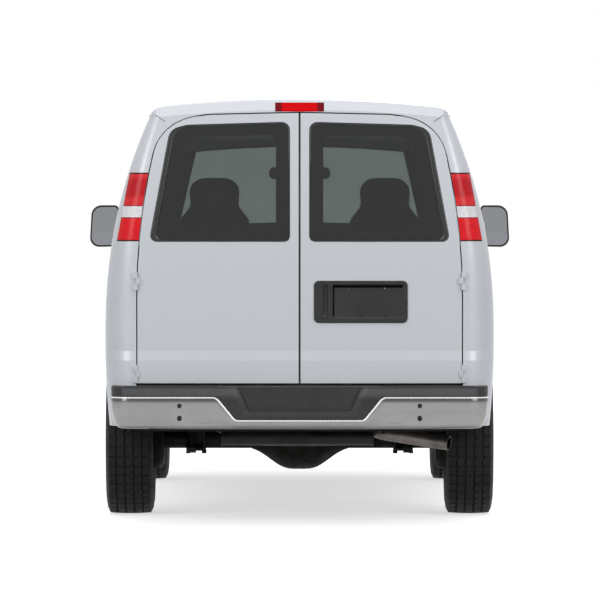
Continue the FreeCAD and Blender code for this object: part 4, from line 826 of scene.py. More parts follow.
def lining(name, tree, origins, direction, body):
    """A board on the inner faces that lines from a grid of origins meet; gaps in the grid stay open."""
    bm = bmesh.new()
    toward = Vector(direction)
    grid = []
    for row in origins:
        made = []
        for origin in row:
            where, normal = struck(tree, origin, direction)
            made.append(bm.verts.new(where - toward * LINING_GAP) if where is not None else None)
        grid.append(made)
    for a, b in zip(grid, grid[1:]):
        for k in range(len(a) - 1):
            corners = (a[k], a[k + 1], b[k + 1], b[k])
            if None not in corners:
                bm.faces.new(corners)
    loose = [v for v in bm.verts if not v.link_faces]
    bmesh.ops.delete(bm, geom=loose, context="VERTS")
    mesh = mesh_from(name, bm)
    piece = new_piece(name, mesh, FELT_PAINTED_SHADE, body)
    if sum(p.normal.dot(toward) * p.area for p in mesh.polygons) > 0:
        mesh.flip_normals()
    solid = piece.modifiers.new("thickness", "SOLIDIFY")
    solid.thickness = LINING_THICK
    solid.offset = 1.0


rows = [[(x * 0.01, y * 0.05, 1.80) for x in range(-62, 63, 4)] for y in range(-50, 23, 2)]
lining("headliner", faces_of("roof_panel"), rows, (0, 0, 1), "chassis")
for side, sign, end_y in (("left", -1, 8), ("right", 1, -18)):
    rows = [[(sign * 0.3, y * 0.05, z * 0.02) for z in range(45, 97, 3)] for y in range(-48, end_y, 2)]
    lining(f"{side}_wall_lining", faces_of(f"body_side_{side}"), rows, (sign, 0, 0), "chassis")
for name, start_y, end_y in (("side_door_front", -30, 35), ("side_door_rear", -80, -41)):
    rows = [[(0.3, y * 0.01, z * 0.03) for z in range(29, 62, 2)] for y in range(start_y, end_y, 4)]
    lining(f"{name}_lining", faces_of(name), rows, (1, 0, 0), name)
for side, sign in (("left", -1), ("right", 1)):
    name = f"rear_door_{side}"
    rows = [[(sign * x * 0.01, -2.2, z * 0.03) for z in range(27, 44, 2)] for x in range(9, 76, 5)]
    lining(f"{name}_lining", faces_of(name), rows, (0, -1, 0), name)


# Window glass: dark privacy glass in the rear doors, lightly tinted green glass in front.
# Each pane is bonded behind a black fired border.

def window_glass(name, tint, lamp_tint):
    """Glass that bends and tints what is seen, and lets lamp and bounced light pass straight through."""
    finish, tree, shader = new_finish(name, tint, 0.0)
    shader.inputs["Transmission Weight"].default_value = 1.0
    shader.inputs["IOR"].default_value = 1.45
    clear = tree.nodes.new("ShaderNodeBsdfTransparent")
    clear.inputs["Color"].default_value = (*lamp_tint, 1.0)
    rays = tree.nodes.new("ShaderNodeLightPath").outputs
    mix = tree.nodes.new("ShaderNodeMixShader")
    for source, socket in ((worked(tree, "MAXIMUM", rays["Is Shadow Ray"], rays["Is Diffuse Ray"]), mix.inputs[0]),
                           (shader.outputs["BSDF"], mix.inputs[1]), (clear.outputs["BSDF"], mix.inputs[2]),
                           (mix.outputs["Shader"], tree.nodes["Material Output"].inputs["Surface"])):
        tree.links.new(source, socket)
    return finish


dress(window_glass("privacy glass", (0.145, 0.165, 0.158), (0.30, 0.33, 0.32)), "rear_glass_left", "rear_glass_right")
dress(window_glass("screen glass", (0.66, 0.74, 0.71), (0.78, 0.84, 0.82)), "windshield", "quarter_glasses",
      "front_glass_left", "front_glass_right")


def fired_black():
    finish, tree, shader = new_finish("fired border", (0.011, 0.0115, 0.0115), 0.25)
    laid(tree, shader, blended(tree, grain(tree, 12.0), (0.010, 0.0105, 0.0105), (0.014, 0.0145, 0.0145)),
         between(tree, grain(tree, 260.0), 0.3, 0.7, 0.2, 0.32))
    return finish


def resampled(outline, count):
    """The same closed outline as evenly spaced points, starting at its lowest left point."""
    points = outline + [outline[0]]
    lengths = [0.0]
    for a, b in zip(points, points[1:]):
        lengths.append(lengths[-1] + (b - a).length)
    made = []
    k = 0
    for i in range(count):
        target = lengths[-1] * i / count
        while lengths[k + 1] < target:
            k += 1
        share = (target - lengths[k]) / max(1e-9, lengths[k + 1] - lengths[k])
        made.append(points[k].lerp(points[k + 1], share))
    start = min(range(count), key=lambda j: made[j].x + made[j].y)
    return made[start:] + made[:start]


def border(name, outer, inner, project, body, across=6, around=120):
    """A thin black ring between two outlines; project puts a 2-D point on the glass's inner face."""
    bm = bmesh.new()
    outer_points, inner_points = resampled(outer, around), resampled(inner, around)
    rings = [[bm.verts.new(project(a.lerp(b, k / across))) for a, b in zip(outer_points, inner_points)]
             for k in range(across + 1)]
    skinned(bm, rings, capped=False)
    piece = new_piece(name, mesh_from(name, bm), FIRED_BLACK, body)
    solid = piece.modifiers.new("thickness", "SOLIDIFY")
    solid.thickness = 0.0006
    solid.offset = 0.0


FIRED_BLACK = fired_black()
REAR_PANE = [(0.048, 1.420), (0.738, 1.420), (0.634, 1.985), (0.560, 2.003), (0.048, 2.018)]
REAR_CLEAR = [(0.118, 1.482), (0.648, 1.482), (0.560, 1.925), (0.505, 1.944), (0.118, 1.950)]
REAR_LAP = [(0.0475, 1.4195), (0.7510, 1.4195), (0.6480, 1.9830), (0.5600, 2.0035), (0.0475, 2.0185)]
LAP_RADII = [0.026, 0.030, 0.070, 0.05, 0.040]
LAP_MIDDLE = Vector((0.370, 1.700))
REAR_LAP_INNER = [(0.0570, 1.4290), (0.7200, 1.4290), (0.6220, 1.9740), (0.5550, 1.9940), (0.0570, 2.0090)]
for side, sign in (("left", -1), ("right", 1)):
    pane = faces_of("rear_glass_" + side)

    def on_rear_pane(p, pane=pane, sign=sign):
        where, _ = struck(pane, (sign * p.x, -2.3, p.y), (0, -1, 0))
        if where is None:
            where = Vector((sign * p.x, pane.find_nearest((sign * p.x, -2.6, p.y))[0].y, p.y))
        return where + Vector((0, 0.0008, 0))

    shrunk = [(x + (0.0012 if x < 0.3 else -0.0012), z + (0.0012 if z < 1.6 else -0.0012)) for x, z in REAR_PANE]
    border(f"rear_window_border_{side}", rounded(shrunk, [0.045, 0.060, 0.050, 0.02, 0.045]),
           rounded(REAR_CLEAR, [0.030, 0.040, 0.035, 0.02, 0.030]), on_rear_pane, f"rear_door_{side}")
    skin = faces_of("rear_door_" + side, "rear_glass_" + side)

    def on_rear_skin(p, skin=skin, sign=sign):
        away = (p - LAP_MIDDLE).normalized()
        spots = [p + away * reach for reach in ((0.0, 0.006, 0.012) if p not in lap_inner else (0.0,))]
        depths = [struck(skin, (sign * spot.x, -3.2, spot.y), (0, 1, 0))[0] for spot in spots]
        return Vector((sign * p.x, min(where.y for where in depths if where is not None) - 0.0005, p.y))

    lap_inner = resampled(rounded(REAR_LAP_INNER, LAP_RADII), 120)
    border(f"rear_window_edge_{side}", rounded(REAR_LAP, LAP_RADII), rounded(REAR_LAP_INNER, LAP_RADII),
           on_rear_skin, f"rear_door_{side}", across=4)


# Windscreen border: the same fired black band as on the rear glass.
# It is drawn square to the raked glass, and laid on its inner face.

rake = math.atan2(0.590, 0.610)
screen_mid = Vector((0, 1.675, 1.687))
screen_up = Vector((0, -math.cos(rake), math.sin(rake)))
screen_in = Vector((0, -math.sin(rake), -math.cos(rake)))
screen_faces = faces_of("windshield")


def on_screen(p):
    start = screen_mid + Vector((p.x, 0, 0)) + screen_up * p.y - screen_in * -0.5
    where, _ = struck(screen_faces, start, -screen_in)
    if where is None:
        where = screen_faces.find_nearest(start - screen_in * 0.5)[0]
    return where + screen_in * 0.001


def screen_outline(low_x, high_x, low_side, low_mid, high_side, high_mid):
    """The windscreen's outline: straight sides, bowed top and bottom edges."""
    made = []
    for k in range(25):
        u = -1 + 2 * k / 24
        made.append(Vector((u * low_x, low_mid + (low_side - low_mid) * u * u)))
    for k in range(25):
        u = 1 - 2 * k / 24
        made.append(Vector((u * high_x, high_mid + (high_side - high_mid) * u * u)))
    return made


border("windscreen_border", screen_outline(0.757, 0.648, -0.284, -0.376, 0.405, 0.381),
       screen_outline(0.690, 0.585, -0.225, -0.300, 0.345, 0.318), on_screen, "chassis", around=200)


# Tail lamps: one-piece acrylic lenses, red above and below a clear reversing window.
# The window shows its silvered reflector; dark lines part the chambers.

def fluted(tree, place, scale):
    """The height of fine flutes moulded in a lens."""
    flutes = tree.nodes.new("ShaderNodeTexWave")
    flutes.inputs["Scale"].default_value = scale
    tree.links.new(place, flutes.inputs["Vector"])
    return flutes.outputs["Fac"]


LAMP_LEAN = 45.0 / 342.0
LAMP_EDGE = 0.775 + 1.422 * LAMP_LEAN


def tail_lamp_lens():
    finish, tree, shader = new_finish("tail lamp lens", (0.5, 0.01, 0.014), 0.2, coat=0.08, coat_roughness=0.02,
                                      specular=0.14)
    place, x, _, z = spot(tree)
    away = worked(tree, "ABSOLUTE", x)

    def band(value, low, high, soft):
        """1 between low and high, fading over soft metres."""
        return worked(tree, "MULTIPLY", between(tree, value, low - soft, low), between(tree, value, high + soft, high))

    leaned = worked(tree, "MULTIPLY_ADD", z, LAMP_LEAN, away)
    window = worked(tree, "MULTIPLY", band(z, 1.542, 1.596, 0.001),
                    between(tree, leaned, LAMP_EDGE + 0.018, LAMP_EDGE + 0.020))
    window = worked(tree, "MULTIPLY", window, between(tree, away, 0.893, 0.891))
    lines = worked(tree, "MAXIMUM", band(z, 1.5385, 1.5405, 0.001), band(z, 1.598, 1.600, 0.001))
    facets = tree.nodes.new("ShaderNodeTexVoronoi")
    facets.inputs["Scale"].default_value = 60.0
    tree.links.new(place, facets.inputs["Vector"])
    distance = facets.outputs["Distance"]
    deep = blended(tree, between(tree, z, 1.52, 1.56), (0.93, 0.010, 0.018), (0.86, 0.030, 0.040))
    red = blended(tree, band(z, 1.655, 1.725, 0.022), deep, (0.62, 0.006, 0.014))
    red = blended(tree, between(tree, distance, 0.2, 0.7, 0.0, 0.2), red, (0.45, 0.003, 0.008))
    silver = blended(tree, between(tree, distance, 0.1, 0.6), (0.97, 0.95, 0.96), (0.84, 0.81, 0.82))
    colour = blended(tree, lines, blended(tree, window, red, silver), (0.05, 0.006, 0.008))
    gasket = worked(tree, "MAXIMUM", between(tree, leaned, LAMP_EDGE + 0.0065, LAMP_EDGE + 0.0045),
                    worked(tree, "SUBTRACT", 1.0, band(z, 1.4295, 1.7565, 0.0015)))
    laid(tree, shader, blended(tree, gasket, colour, (0.035, 0.008, 0.009)),
         bump=(fluted(tree, place, 70.0), 0.15, 0.0008))
    return finish


dress(tail_lamp_lens(), "tail_lamps")


def stop_lamp_lens():
    finish, tree, shader = new_finish("stop lamp lens", (0.5, 0.01, 0.014), 0.3, specular=0.04)
    place, x, _, _ = spot(tree)
    flutes = fluted(tree, place, 32.0)
    red = blended(tree, flutes, (0.76, 0.002, 0.004), (0.62, 0.001, 0.003))
    ends = between(tree, worked(tree, "ABSOLUTE", x), 0.084, 0.092)
    laid(tree, shader, blended(tree, ends, red, (0.20, 0.006, 0.010)), bump=(flutes, 0.2, 0.001))
    return finish


dress(stop_lamp_lens(), "high_mount_lamp")


# Rear bumper: one band of pressed and chromed steel, its ends and its foot rolled in and its middle dropped.
# A rolled lip runs along its top edge, painted near white as a painted highlight, and two bolts each side go through
# its face.

def chrome():
    finish, tree, shader = new_finish("bumper chrome", (0.28, 0.275, 0.27), 0.2, metallic=1.0)
    _, _, _, z = spot(tree)
    haze = between(tree, grain(tree, 5.0, 5.0, (1, 1, 4)), 0.35, 0.7)
    haze_and_shade = blended(tree, haze, (0.250, 0.245, 0.240), (0.222, 0.217, 0.212))
    # The chrome is painted darker towards its foot and in a band just under the top lip: painted shade.
    haze_and_shade = blended(tree, between(tree, z, 0.512, 0.500), haze_and_shade, (0.135, 0.133, 0.130))
    haze_and_shade = blended(tree, between(tree, z, 0.622, 0.634), haze_and_shade, (0.104, 0.103, 0.101))
    laid(tree, shader, haze_and_shade, between(tree, grain(tree, 40.0, 4.0, (0.3, 1, 3)), 0.3, 0.7, 0.16, 0.3),
         (grain(tree, 16.0, 2.0), 0.05, 0.002))
    return finish


CHROME = chrome()
dress(CHROME, "front_bumper")
# The lip's near-white colour is a painted highlight on the bumper's top edge.
LIP_PAINTED_HIGHLIGHT, lip_tree, lip_shader = new_finish("lip painted highlight", (0.95, 0.95, 0.95), 0.3, metallic=0.3)
laid(lip_tree, lip_shader, roughness=between(lip_tree, grain(lip_tree, 60.0), 0.3, 0.7, 0.2, 0.35))
BUMPER_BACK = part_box("rear_bumper")[0].y
BAND_TOP, BAND_FOOT, DIP_Z = 0.651, 0.492, 0.5355
BAND_END_X = 0.938
BAND_CORNER = 0.095
BAND_ROLL = ((0.0, 0.052), (0.04, 0.037), (0.1, 0.027), (0.22, 0.016), (0.42, 0.006), (0.65, 0.001), (0.85, 0.0),
             (0.97, 0.001), (1.0, 0.004))
DIP = rounded([(-0.70, 0.75), (-0.70, BAND_TOP), (-0.414, BAND_TOP), (-0.320, DIP_Z), (0.320, DIP_Z),
               (0.414, BAND_TOP), (0.70, BAND_TOP), (0.70, 0.75)], [0, 0, 0.045, 0.036, 0.036, 0.045, 0, 0], 8)


def band_path():
    """The band's plan from one end round to the other, with the height of its top edge."""
    made = [(-BAND_END_X, y, BAND_TOP) for y in (-2.604, -2.64, -2.69, -2.735)]
    for k in range(9):
        angle = math.pi / 2 * k / 8
        made.append((-BAND_END_X + BAND_CORNER * (1 - math.cos(angle)),
                     BUMPER_BACK + BAND_CORNER * (1 - math.sin(angle)), BAND_TOP))
    made += [(-0.843 + 0.093 * k, BUMPER_BACK, BAND_TOP) for k in range(1, 5)]
    made += [(p[0], BUMPER_BACK, p[1]) for p in DIP[2:-2]]
    ordered = [made[0]]
    for x, y, z in made[1:]:
        if x > ordered[-1][0] + 1e-5 or y < ordered[-1][1] - 1e-5:
            ordered.append((x, y, z))
    half = [p for p in ordered if p[0] < -0.001]
    return half + [(0.0, BUMPER_BACK, DIP_Z)] + [(-x, y, z) for x, y, z in reversed(half)]


def inwards_at(line, i):
    """The level direction into the van, square to a line at one of its points."""
    along = (Vector(line[min(i + 1, len(line) - 1)]) - Vector(line[max(i - 1, 0)])).normalized()
    return Vector((-along.y, along.x, 0.0))


path = band_path()
plan = [(x, y, 0.0) for x, y, _ in path]
bm = bmesh.new()
columns = []
for i, (x, y, top) in enumerate(path):
    inwards = inwards_at(plan, i)
    column = []
    for share, pull in BAND_ROLL:
        if abs(x) < BAND_END_X - 0.2:
            pull = min(pull, 0.022)
        column.append(bm.verts.new(Vector((x, y, BAND_FOOT + (top - BAND_FOOT) * share)) + inwards * pull))
    columns.append(column)
for a, b in zip(columns, columns[1:]):
    for k in range(len(a) - 1):
        bm.faces.new((a[k], b[k], b[k + 1], a[k + 1]))
band_mesh = mesh_from("bumper band", bm, recalculate=False)
if sum(p.normal.y * p.area for p in band_mesh.polygons) > 0:
    band_mesh.flip_normals()
band = new_piece("bumper_band", band_mesh, CHROME, "chassis")
wall = band.modifiers.new("thickness", "SOLIDIFY")
wall.thickness = 0.003
wall.offset = -1.0
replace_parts(band, "rear_bumper")
LIP_R = 0.0052
lip_line = [Vector((x, y, z - 0.003)) for x, y, z in path]
bm = bmesh.new()
add_tube(bm, [point + inwards_at(lip_line, i) * LIP_R for i, point in enumerate(lip_line)], LIP_R, 10)
new_piece("bumper_lip", mesh_from("bumper lip", bm), LIP_PAINTED_HIGHLIGHT, "chassis")
brackets = []
for side in (-1, 1):
    outline = rounded([(side * 0.500, 0.520), (side * 0.500, 0.600), (side * 0.430, 0.600), (side * 0.430, 0.520)],
                      0.008, 3)
    brackets.append(prism("bracket", outline, -2.828, -2.6405, "Y"))
new_piece("bumper_brackets", joined("bumper brackets", brackets), CHASSIS_BLACK, "chassis",
          smooth=False)
bm = bmesh.new()
for x in (-0.596, 0.596):
    for z in (0.608, 0.544):
        for radius, proud in ((0.0115, 0.0006), (0.0085, 0.0024)):
            add_tube(bm, [(x, BUMPER_BACK + 0.001, z), (x, BUMPER_BACK - proud, z)], radius, 20)
new_piece("bumper_bolts", mesh_from("bumper bolts", bm), CHASSIS_BLACK, "chassis", smooth=False)


# Step pad: one black moulding on top of the bumper, rounded at its ends.
# Its middle drops into the bumper and is hollowed as a foothold, with ribs moulded on each tread.

def pad_plastic():
    finish, tree, shader = new_finish("step plastic", (0.03, 0.03, 0.031), 0.55, specular=0.3)
    _, _, y, z = spot(tree)
    wear = between(tree, grain(tree, 6.0, 4.0), 0.3, 0.7)
    painted_lit_tone = blended(tree, wear, (0.078, 0.079, 0.080), (0.098, 0.099, 0.100))
    unlit_tone = blended(tree, wear, (0.022, 0.0225, 0.023), (0.032, 0.032, 0.033))
    # The upper band of the pad's rear face is painted lighter: painted light from above.
    lit = worked(tree, "MULTIPLY", between(tree, z, 0.700, 0.690), between(tree, z, 0.640, 0.668))
    outer = worked(tree, "MULTIPLY", lit, between(tree, y, -2.832, -2.840))
    laid(tree, shader, blended(tree, outer, unlit_tone, painted_lit_tone), between(tree, grain(tree, 35.0), 0.3, 0.7, 0.46, 0.62),
         (grain(tree, 420.0, 2.0), 0.3, 0.0005))
    return finish


STEP_PLASTIC = pad_plastic()
PAD_BACK = BUMPER_BACK + 0.001
PAD_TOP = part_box("bumper_step_pad")[1].z
board = prism("pad board", rounded([(-0.936, -2.612), (-0.936, PAD_BACK), (0.936, PAD_BACK), (0.936, -2.612)],
                                   [0.004, 0.094, 0.094, 0.004]), BAND_TOP + 0.0004, PAD_TOP - 0.0005, "Z")
behind = prism("behind", [(-0.832, -2.702), (0.832, -2.702), (0.832, -2.5), (-0.832, -2.5)], 0.6, 0.8, "Z")
tub = prism("pad tub", rounded([(-0.411, 0.655), (-0.3175, 0.5385), (0.3175, 0.5385), (0.411, 0.655)],
                               [0.0, 0.034, 0.034, 0.0]), PAD_BACK, -2.735, "Y")
SLOPED = [Vector((-0.352, 0.725)), Vector((-0.276, 0.556)), Vector((0.276, 0.556)), Vector((0.352, 0.725))]
HOLLOW = [Vector((-0.318, 0.725)), Vector((-0.256, 0.580)), Vector((0.256, 0.580)), Vector((0.318, 0.725))]
bm = bmesh.new()
skinned(bm, [[bm.verts.new((p[0], PAD_BACK + depth, p[1])) for p in rounded(points, [0, 0.026, 0.026, 0], 6)]
             for points, depth in ((SLOPED, -0.004), (SLOPED, 0.0), (HOLLOW, 0.013), (HOLLOW, 0.031))])
foothold = mesh_from("foothold", bm)
pad = carved("step pad", board, [("DIFFERENCE", behind), ("UNION", tub), ("DIFFERENCE", foothold)], bevel=0.005)
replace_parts(new_piece("step_pad", pad, STEP_PLASTIC, "chassis", smooth=False), "bumper_step_pad")


def rib_pattern(tree, given):
    """A row of raised ribs, spaced along Y."""
    step = geometry(tree, "ShaderNodeCombineXYZ", Y=given["Spacing"])
    row = geometry(tree, "GeometryNodeMeshLine", Count=given["Ribs"], Offset=step)
    return row, geometry(tree, "GeometryNodeMeshCube", Size=given["Rib size"])


RIBS = (("Ribs", "Int", 8), ("Spacing", "Float", 0.014), ("Rib size", "Vector", (0.46, 0.006, 0.002)))
ribs = [grown("rib row", RIBS, rib_pattern, STEP_PLASTIC, Matrix.Translation((x, -2.822, PAD_TOP)))
        for x in (-0.64, 0.64)]
new_piece("step_treads", joined("step treads", ribs), STEP_PLASTIC, "chassis", smooth=False)


# Number plate holder: moulded black plastic on the right rear door, with lock and handle. The holder is empty; the
# pull handle hangs in the pocket at its left, and black strips along the pocket's top and left side are painted shade.

HOLDER_PLASTIC = grained_plastic("holder plastic", (0.016, 0.0165, 0.0165), (0.026, 0.026, 0.026), 0.42, 600.0)
HOLDER_PROUD = 0.0103
HOLDER_X, HOLDER_Z = 0.305, 1.120
LOCK_X, LOCK_Z = 0.124, 1.050
door_face = faces_of("rear_door_right")
holder_y = struck(door_face, (HOLDER_X, -3.0, HOLDER_Z), (0, 1, 0))[0].y - HOLDER_PROUD


def framed(x0, z0, x1, z1, radius):
    """A rounded rectangle's outline on the door's face."""
    return rounded([(x0, z0), (x1, z0), (x1, z1), (x0, z1)], radius, 6)


def tapered(name, wide, start, end, narrow):
    """A block of the holder between two depths from its face, with one outline there and another behind."""
    return prism(name, wide, holder_y + start, holder_y + end, "Y", narrow)


def bent(mesh):
    """Bend a mesh that was made flat, so that it follows the door's face."""
    for v in mesh.vertices:
        where, _ = struck(door_face, (v.co.x, -3.0, v.co.z), (0, 1, 0))
        v.co.y += where.y - HOLDER_PROUD - holder_y
    return mesh


rim = framed(0.0715, 1.0155, 0.5385, 1.2255, 0.024)
edge = tapered("plate holder", rim, 0.004, 0.012, rim)
face = tapered("holder face", framed(0.0760, 1.0200, 0.5340, 1.2210, 0.020), 0.0, 0.006, rim)
pocket = tapered("pocket", framed(0.1600, 1.0350, 0.5250, 1.2090, 0.012), -0.001, 0.0090,
                 framed(0.1700, 1.0480, 0.5080, 1.1980, 0.006))
slot = tapered("slot", framed(0.1120, 1.0700, 0.1400, 1.2070, 0.006), -0.001, 0.0090,
               framed(0.1250, 1.0780, 0.1370, 1.2050, 0.004))
lock_seat = tapered("lock seat", framed(0.1080, 1.0340, 0.1400, 1.0660, 0.0159), -0.001, 0.003,
                    framed(0.1100, 1.0360, 0.1380, 1.0640, 0.0139))
holder = carved("plate holder", edge, [("UNION", face), ("DIFFERENCE", pocket), ("DIFFERENCE", slot),
                                       ("DIFFERENCE", lock_seat)], bevel=0.0012)
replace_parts(new_piece("plate_holder", bent(holder), HOLDER_PLASTIC, "rear_door_right", smooth=False),
            "plate_bezel")
SHADE, shade_tree, shade_shader = new_finish("painted shade plastic", (0.004, 0.004, 0.004), 0.95, specular=0.03)
laid(shade_tree, shade_shader, bump=(grain(shade_tree, 300.0), 0.2, 0.0004))
# Two black strips, one under the pocket's top edge and one down its left side, are painted shade.
bm = bmesh.new()
add_box(bm, (0.166, holder_y + 0.0030, 1.1915), (0.514, holder_y + 0.0095, 1.2035))
add_box(bm, (0.1650, holder_y + 0.0050, 1.046), (0.1720, holder_y + 0.0095, 1.196))
new_piece("plate_pocket_painted_shade", bent(mesh_from("pocket painted shade", bm)), SHADE, "rear_door_right",
          smooth=False)
LOCK_STEEL, lock_tree, lock_shader = new_finish("lock steel", (0.035, 0.035, 0.036), 0.35, metallic=0.6)
laid(lock_tree, lock_shader, bump=(grain(lock_tree, 400.0), 0.1, 0.0003))
bm = bmesh.new()
for radius, depth in ((0.0110, 0.0005), (0.0085, -0.0006)):
    add_tube(bm, [(LOCK_X, holder_y + 0.0045, LOCK_Z), (LOCK_X, holder_y + depth, LOCK_Z)], radius, 28)
new_piece("rear_door_lock", bent(mesh_from("lock", bm)), LOCK_STEEL, "rear_door_right")
bm = bmesh.new()
for x in (0.247, 0.423):
    add_tube(bm, [(x, holder_y + depth, 1.1885) for depth in (0.0100, 0.0060, 0.0050)], 0.0042, 16)
new_piece("plate_screws", bent(mesh_from("plate screws", bm)), PLATED, "rear_door_right")
bm = bmesh.new()
for x in (0.305, 0.430):
    add_tube(bm, [(x, holder_y + 0.010, 1.0560), (x, holder_y + 0.006, 1.0560)], 0.0055, 12)
new_piece("plate_rubbers", mesh_from("plate rubbers", bm), RUBBER_SEAL, "rear_door_right")


# Door mirrors: black moulded heads on short arms at the front corners of the doors.
# A slightly domed silvered glass is set in each head, with a gap round it.

MIRROR_PLASTIC = grained_plastic("mirror plastic", (0.018, 0.018, 0.019), (0.028, 0.028, 0.029), 0.45)
HEAD_OUTLINE = rounded([(1.020, 1.342), (1.1865, 1.3385), (1.1735, 1.5755), (1.020, 1.5755)],
                       [0.012, 0.052, 0.058, 0.024], 12)
HEAD_CENTRE = Vector((1.098, 1.457))
HEAD_SECTION = ((0.0105, 0.0085), (0.0100, 0.0010), (0.0070, 0.0), (0.0030, 0.0006), (0.0008, 0.0040), (0.0, 0.0100),
                (0.0015, 0.030), (0.008, 0.046), (0.022, 0.0555), (0.044, 0.0595))
GLASS_INSET = 0.0112
GLASS_THICK = 0.0012
SILVERING, silver_tree, silver_shader = new_finish("mirror silvering", (0.255, 0.26, 0.275), 0.05, metallic=1.0)
laid(silver_tree, silver_shader, roughness=between(silver_tree, grain(silver_tree, 8.0), 0.3, 0.7, 0.03, 0.07))


def head_line(inset):
    """The head's outline pulled in all round by a distance."""
    outs = [Vector(p) - HEAD_CENTRE for p in HEAD_OUTLINE]
    return [HEAD_CENTRE + out * (1 - inset / out.length) for out in outs]


for side, sign in (("left", -1), ("right", 1)):
    back_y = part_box("mirror_" + side)[0].y
    bm = bmesh.new()
    skinned(bm, [[bm.verts.new((sign * p.x, back_y + depth, p.y)) for p in head_line(inset)]
                 for inset, depth in HEAD_SECTION])
    add_tube(bm, [(sign * 0.962, back_y + 0.036, 1.371), (sign * 1.000, back_y + 0.036, 1.371),
                  (sign * 1.034, back_y + 0.034, 1.383)], 0.025, 20)
    head = new_piece(f"mirror_head_{side}", mesh_from("mirror head", bm), MIRROR_PLASTIC, f"front_door_{side}")
    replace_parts(head, "mirror_" + side)
    bm = bmesh.new()
    rows = []
    for share in (1.0, 0.8, 0.6, 0.4, 0.2):
        spots = [HEAD_CENTRE.lerp(p, share) for p in head_line(GLASS_INSET)]
        rows.append([bm.verts.new((sign * q.x, back_y + 0.0045 - 0.0006 * (1 - share ** 2), q.y)) for q in spots])
    skinned(bm, rows, capped=False)
    bm.faces.new(rows[-1])
    edge_rows = [[bm.verts.new(v.co + Vector((0, depth, 0))) for v in rows[0]] for depth in (0.0, GLASS_THICK)]
    skinned(bm, edge_rows, capped=False)
    bm.faces.new(edge_rows[-1])
    new_piece(f"mirror_glass_{side}", mesh_from("mirror glass", bm), SILVERING, f"front_door_{side}")


# Door handles: black moulded pull handles on the front and side doors, bowed so that a hand goes behind.
# A plated lock barrel sits in the door behind each.

HANDLE_HALF = 0.075
for body, (sign, y) in {"front_door_left": (-1, 0.555), "front_door_right": (1, 0.555),
                        "side_door_front": (1, -0.262)}.items():
    where, normal = struck(faces_of(body), (sign * 1.4, y, 1.255), (-sign, 0, 0))
    path = []
    for k in range(13):
        u = -1 + k / 6
        lift = 0.006 + 0.022 * math.cos(u * math.pi / 2) ** 0.5 if abs(u) < 1 else 0.0
        path.append(where + Vector((0, u * HANDLE_HALF, 0)) + normal * lift)
    bm = bmesh.new()
    add_tube(bm, path, 0.0095, 12)
    new_piece(f"{body}_handle", mesh_from("handle", bm), MIRROR_PLASTIC, body)
    barrel = where + Vector((0, -HANDLE_HALF - 0.045, -0.004))
    bm = bmesh.new()
    add_tube(bm, [barrel, barrel + normal * 0.0025], 0.010, 24)
    new_piece(f"{body}_lock", mesh_from("lock", bm), PLATED, body)


# Grille and headlamps: the grille is one black moulding between the lamps.
# The lamps are lenses with silvered bowls painted on them, bright round the bulb as a painted reflection, with an
# amber turn lamp at each outer end.

GRILLE_PLASTIC = grained_plastic("grille plastic", (0.014, 0.014, 0.015), (0.022, 0.022, 0.022), 0.4)
dress(GRILLE_PLASTIC, "grille")
BULB = (0.705, 0.0, 0.898)


def headlamp_lens():
    finish, tree, shader = new_finish("headlamp lens", (0.7, 0.72, 0.74), 0.08, coat=1.0, coat_roughness=0.01)
    place, x, _, z = spot(tree)
    away = worked(tree, "ABSOLUTE", x)
    from_bulb = tree.nodes.new("ShaderNodeVectorMath")
    from_bulb.operation = "DISTANCE"
    from_bulb.inputs[1].default_value = BULB
    tree.links.new(geometry(tree, "ShaderNodeCombineXYZ", X=away, Z=z), from_bulb.inputs[0])
    reach = from_bulb.outputs["Value"]
    # The bowl is painted bright round the bulb and darker outward as a painted reflection, with a dark middle and a
    # dark rim.
    bowl_and_reflection = blended(tree, between(tree, reach, 0.030, 0.105), (0.90, 0.91, 0.93), (0.46, 0.47, 0.49))
    bowl_and_reflection = blended(tree, between(tree, reach, 0.022, 0.016), bowl_and_reflection, (0.30, 0.31, 0.32))
    bowl_and_reflection = blended(tree, between(tree, reach, 0.104, 0.108), bowl_and_reflection, (0.24, 0.245, 0.25))
    laid(tree, shader, blended(tree, between(tree, away, 0.835, 0.845), bowl_and_reflection, (0.72, 0.28, 0.03)),
         bump=(fluted(tree, place, 26.0), 0.25, 0.0015))
    return finish


dress(headlamp_lens(), "headlamps")


# Windscreen wipers: two black steel arms from the scuttle.
# Each carries a long rubber blade that rests on the glass.

WIPERS = ((-0.610, -0.560, -0.060), (0.010, 0.060, 0.560))
arms, blades = bmesh.new(), bmesh.new()
for pivot_x, start_x, end_x in WIPERS:
    blade = []
    for k in range(15):
        share = k / 14
        where, normal = struck(screen_faces, (start_x + (end_x - start_x) * share, 3.5, 1.400 + 0.045 * share),
                               (0, -1, 0))
        if where is not None:
            blade.append(where + normal * 0.0055)
    add_tube(blades, blade, 0.0050, 8)
    centre = blade[len(blade) // 2] + Vector((0, 0.010, 0.006))
    foot = Vector((pivot_x, blade[0].y + 0.030, blade[0].z - 0.025))
    add_tube(arms, [foot, foot.lerp(centre, 0.3) + Vector((0, 0.004, 0.004)), centre], 0.0065, 8)
    add_tube(arms, [foot - Vector((0, 0.004, 0.014)), foot + Vector((0, 0.002, 0.008))], 0.013, 14)
new_piece("wiper_arms", mesh_from("wiper arms", arms), GRILLE_PLASTIC, "chassis")
new_piece("wiper_blades", mesh_from("wiper blades", blades), RUBBER_SEAL, "chassis")


# Instrument panel, steering wheel and interior mirror: grained grey and black plastic.
# The mirror hangs on a short stalk that is bonded to the windscreen.

CAB_PLASTIC = grained_plastic("cab plastic", (0.060, 0.061, 0.064), (0.085, 0.086, 0.088), 0.6)
dress(CAB_PLASTIC, "dashboard")
WHEEL_RIM = grained_plastic("steering wheel rim", (0.018, 0.018, 0.019), (0.028, 0.028, 0.028), 0.5)
dress(WHEEL_RIM, "steering_wheel")

